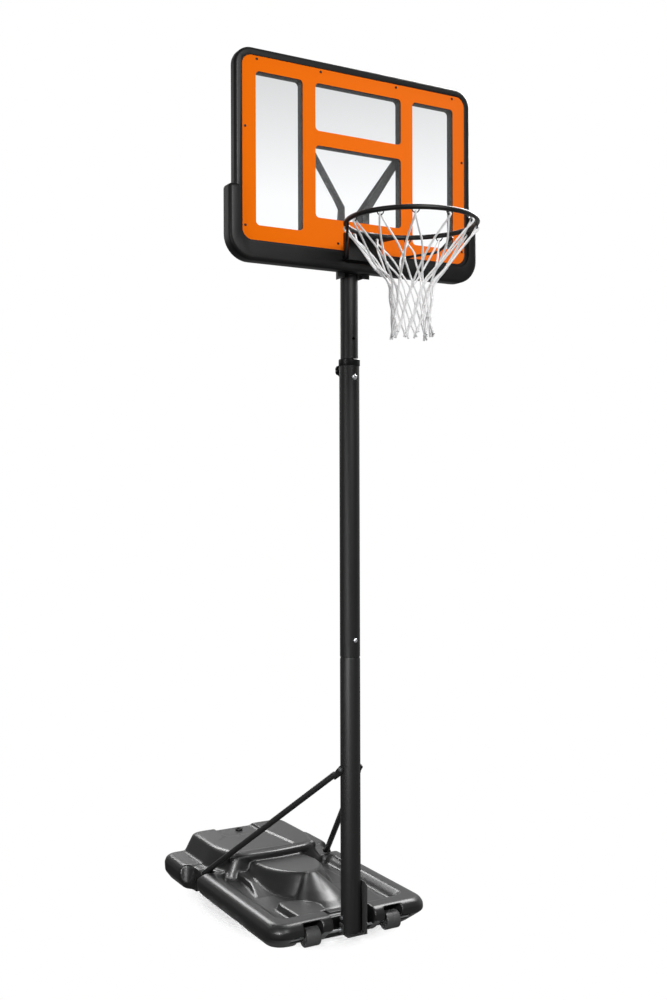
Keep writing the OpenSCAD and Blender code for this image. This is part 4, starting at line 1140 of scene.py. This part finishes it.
# Depth of each row of knots as a share of the drop, and how far it opens from the tube to the ring
NET_ROWS = [(0.40, 0.36), (0.56, 0.08), (0.71, 0.01), (0.86, 0.0), (1.0, 0.02)]
NET_DROP, NET_TUBE = 400, 70
NET_SLACK = (0.3, 0.62)
CORD_RADIUS, CORD_PASS = 3.7, 2.4
TAIL_TURN, TAIL_FLARE = 0.07, 4
KNOT_SIZE = offset(6.2, 6.2, 7.4)


def net_knot(row, turn, shifts):
    """The place where two cords cross in a row, a little off its regular place."""
    drop, share = NET_ROWS[row]
    slide, swing, sink = shifts[row, turn % (2 * HOOKS)]
    angle = radians(turn * 180 / HOOKS + swing)
    radius = NET_TUBE + (RING_RADIUS - NET_TUBE) * share + slide
    return angle, radius, -NET_DROP * drop + sink


def net_place(angle, radius, height):
    return RING_CENTRE + Vector((radius * cos(angle), radius * sin(angle), height)) * MM


def half_cord(hook, step, shifts):
    """Half of a hook's cord, from its hook down to a loose tail, to the left or right."""
    start = radians(hook * 360 / HOOKS)
    turn, radius, height = net_knot(0, 2 * hook + step, shifts)
    path = []
    for share in NET_SLACK:
        sway = radians(random.uniform(-1.6, 1.6))
        bulge = random.uniform(-5, 3)
        path.append(net_place(start + (turn - start) * share + sway,
                              RING_RADIUS + (radius - RING_RADIUS) * share + bulge,
                              -HOOK_DROP + (height + HOOK_DROP) * share))
    for row in range(len(NET_ROWS)):
        turn, radius, height = net_knot(row, 2 * hook + step * (row + 1), shifts)
        path.append(net_place(turn, radius - step * CORD_PASS, height))
    path.append(net_place(turn + step * TAIL_TURN, radius + TAIL_FLARE - step * CORD_PASS,
                          height - random.uniform(8, 20)))
    return path


def make_net():
    """Cords looped over the hooks, crossing and knotted in five rows, with loose tails below."""
    shifts = {(row, turn): (random.uniform(-6, 6), random.uniform(-2.5, 2.5), random.uniform(-10, 10))
              for row in range(len(NET_ROWS)) for turn in range(2 * HOOKS)}
    pieces = []
    for hook in range(HOOKS):
        angle = radians(hook * 360 / HOOKS)
        loop = []
        for turn in (i * pi / 5 for i in range(6)):
            loop.append(net_place(angle, RING_RADIUS + HOOK_LOOP * cos(turn),
                                  -HOOK_DROP + HOOK_LOOP * sin(turn)))
        left, right = (half_cord(hook, step, shifts) for step in (-1, 1))
        pieces.append(cord_along("net_cord", left[::-1] + loop + right))
    for row in range(len(NET_ROWS)):
        for turn in range((row + 1) % 2, 2 * HOOKS, 2):
            pieces.append(tied_knot(net_place(*net_knot(row, turn, shifts)), turn))
    net = joined("net_cords", pieces)
    dress(net, CORD_FINISH, "mast", "net_cord", "net", angle=60)


def cord_along(name, path):
    """A cord that bends smoothly through a path."""
    curve = round_curve(name, CORD_RADIUS, sides=2)
    curve.resolution_u = 5
    spline = curve.splines.new("BEZIER")
    spline.bezier_points.add(len(path) - 1)
    for place, point in zip(spline.bezier_points, path):
        place.co = point
        place.handle_left_type = "AUTO"
        place.handle_right_type = "AUTO"
    return meshed(name, curve)


def tied_knot(place, turn):
    """A small hard knot drawn round two crossing cords."""
    bpy.ops.mesh.primitive_ico_sphere_add(subdivisions=2, radius=1)
    knot = named("knot")
    for vertex in knot.data.vertices:
        swirl = 3 * atan2(vertex.co.y, vertex.co.x) + 4 * vertex.co.z + turn
        vertex.co *= 1 + 0.14 * sin(swirl)
    knot.scale = KNOT_SIZE
    knot.location = place
    return settle(knot)


def finish_carried_nodes():
    """Materials for the CAD nodes that keep their own shape."""
    for node, finish in (("border_film", FILM_FINISH), ("board_sheet", SHEET_FINISH), ("axle", AXLE_FINISH),
                         ("net_hooks", RIM_FINISH), ("arm_spacers", POLE_FINISH),
                         ("clamp_screw", ZINC_FINISH), ("arm_top_screws", ZINC_FINISH),
                         ("strut_inserts", BRASS_FINISH)):
        for slot in nodes[node].material_slots:
            slot.material = finish


place_camera()
light_studio()
lay_floor()
make_tank()
make_wheels()
make_fill_cap()
make_tubes()
make_collar()
make_pan_bolt("joint_bolt", head=6)
make_pan_bolt("lock_bolt", head=4.2)
make_knob()
make_struts()
make_frame()
make_pad()
make_pressed_parts()
make_ring()
make_braces()
make_net()
finish_carried_nodes()
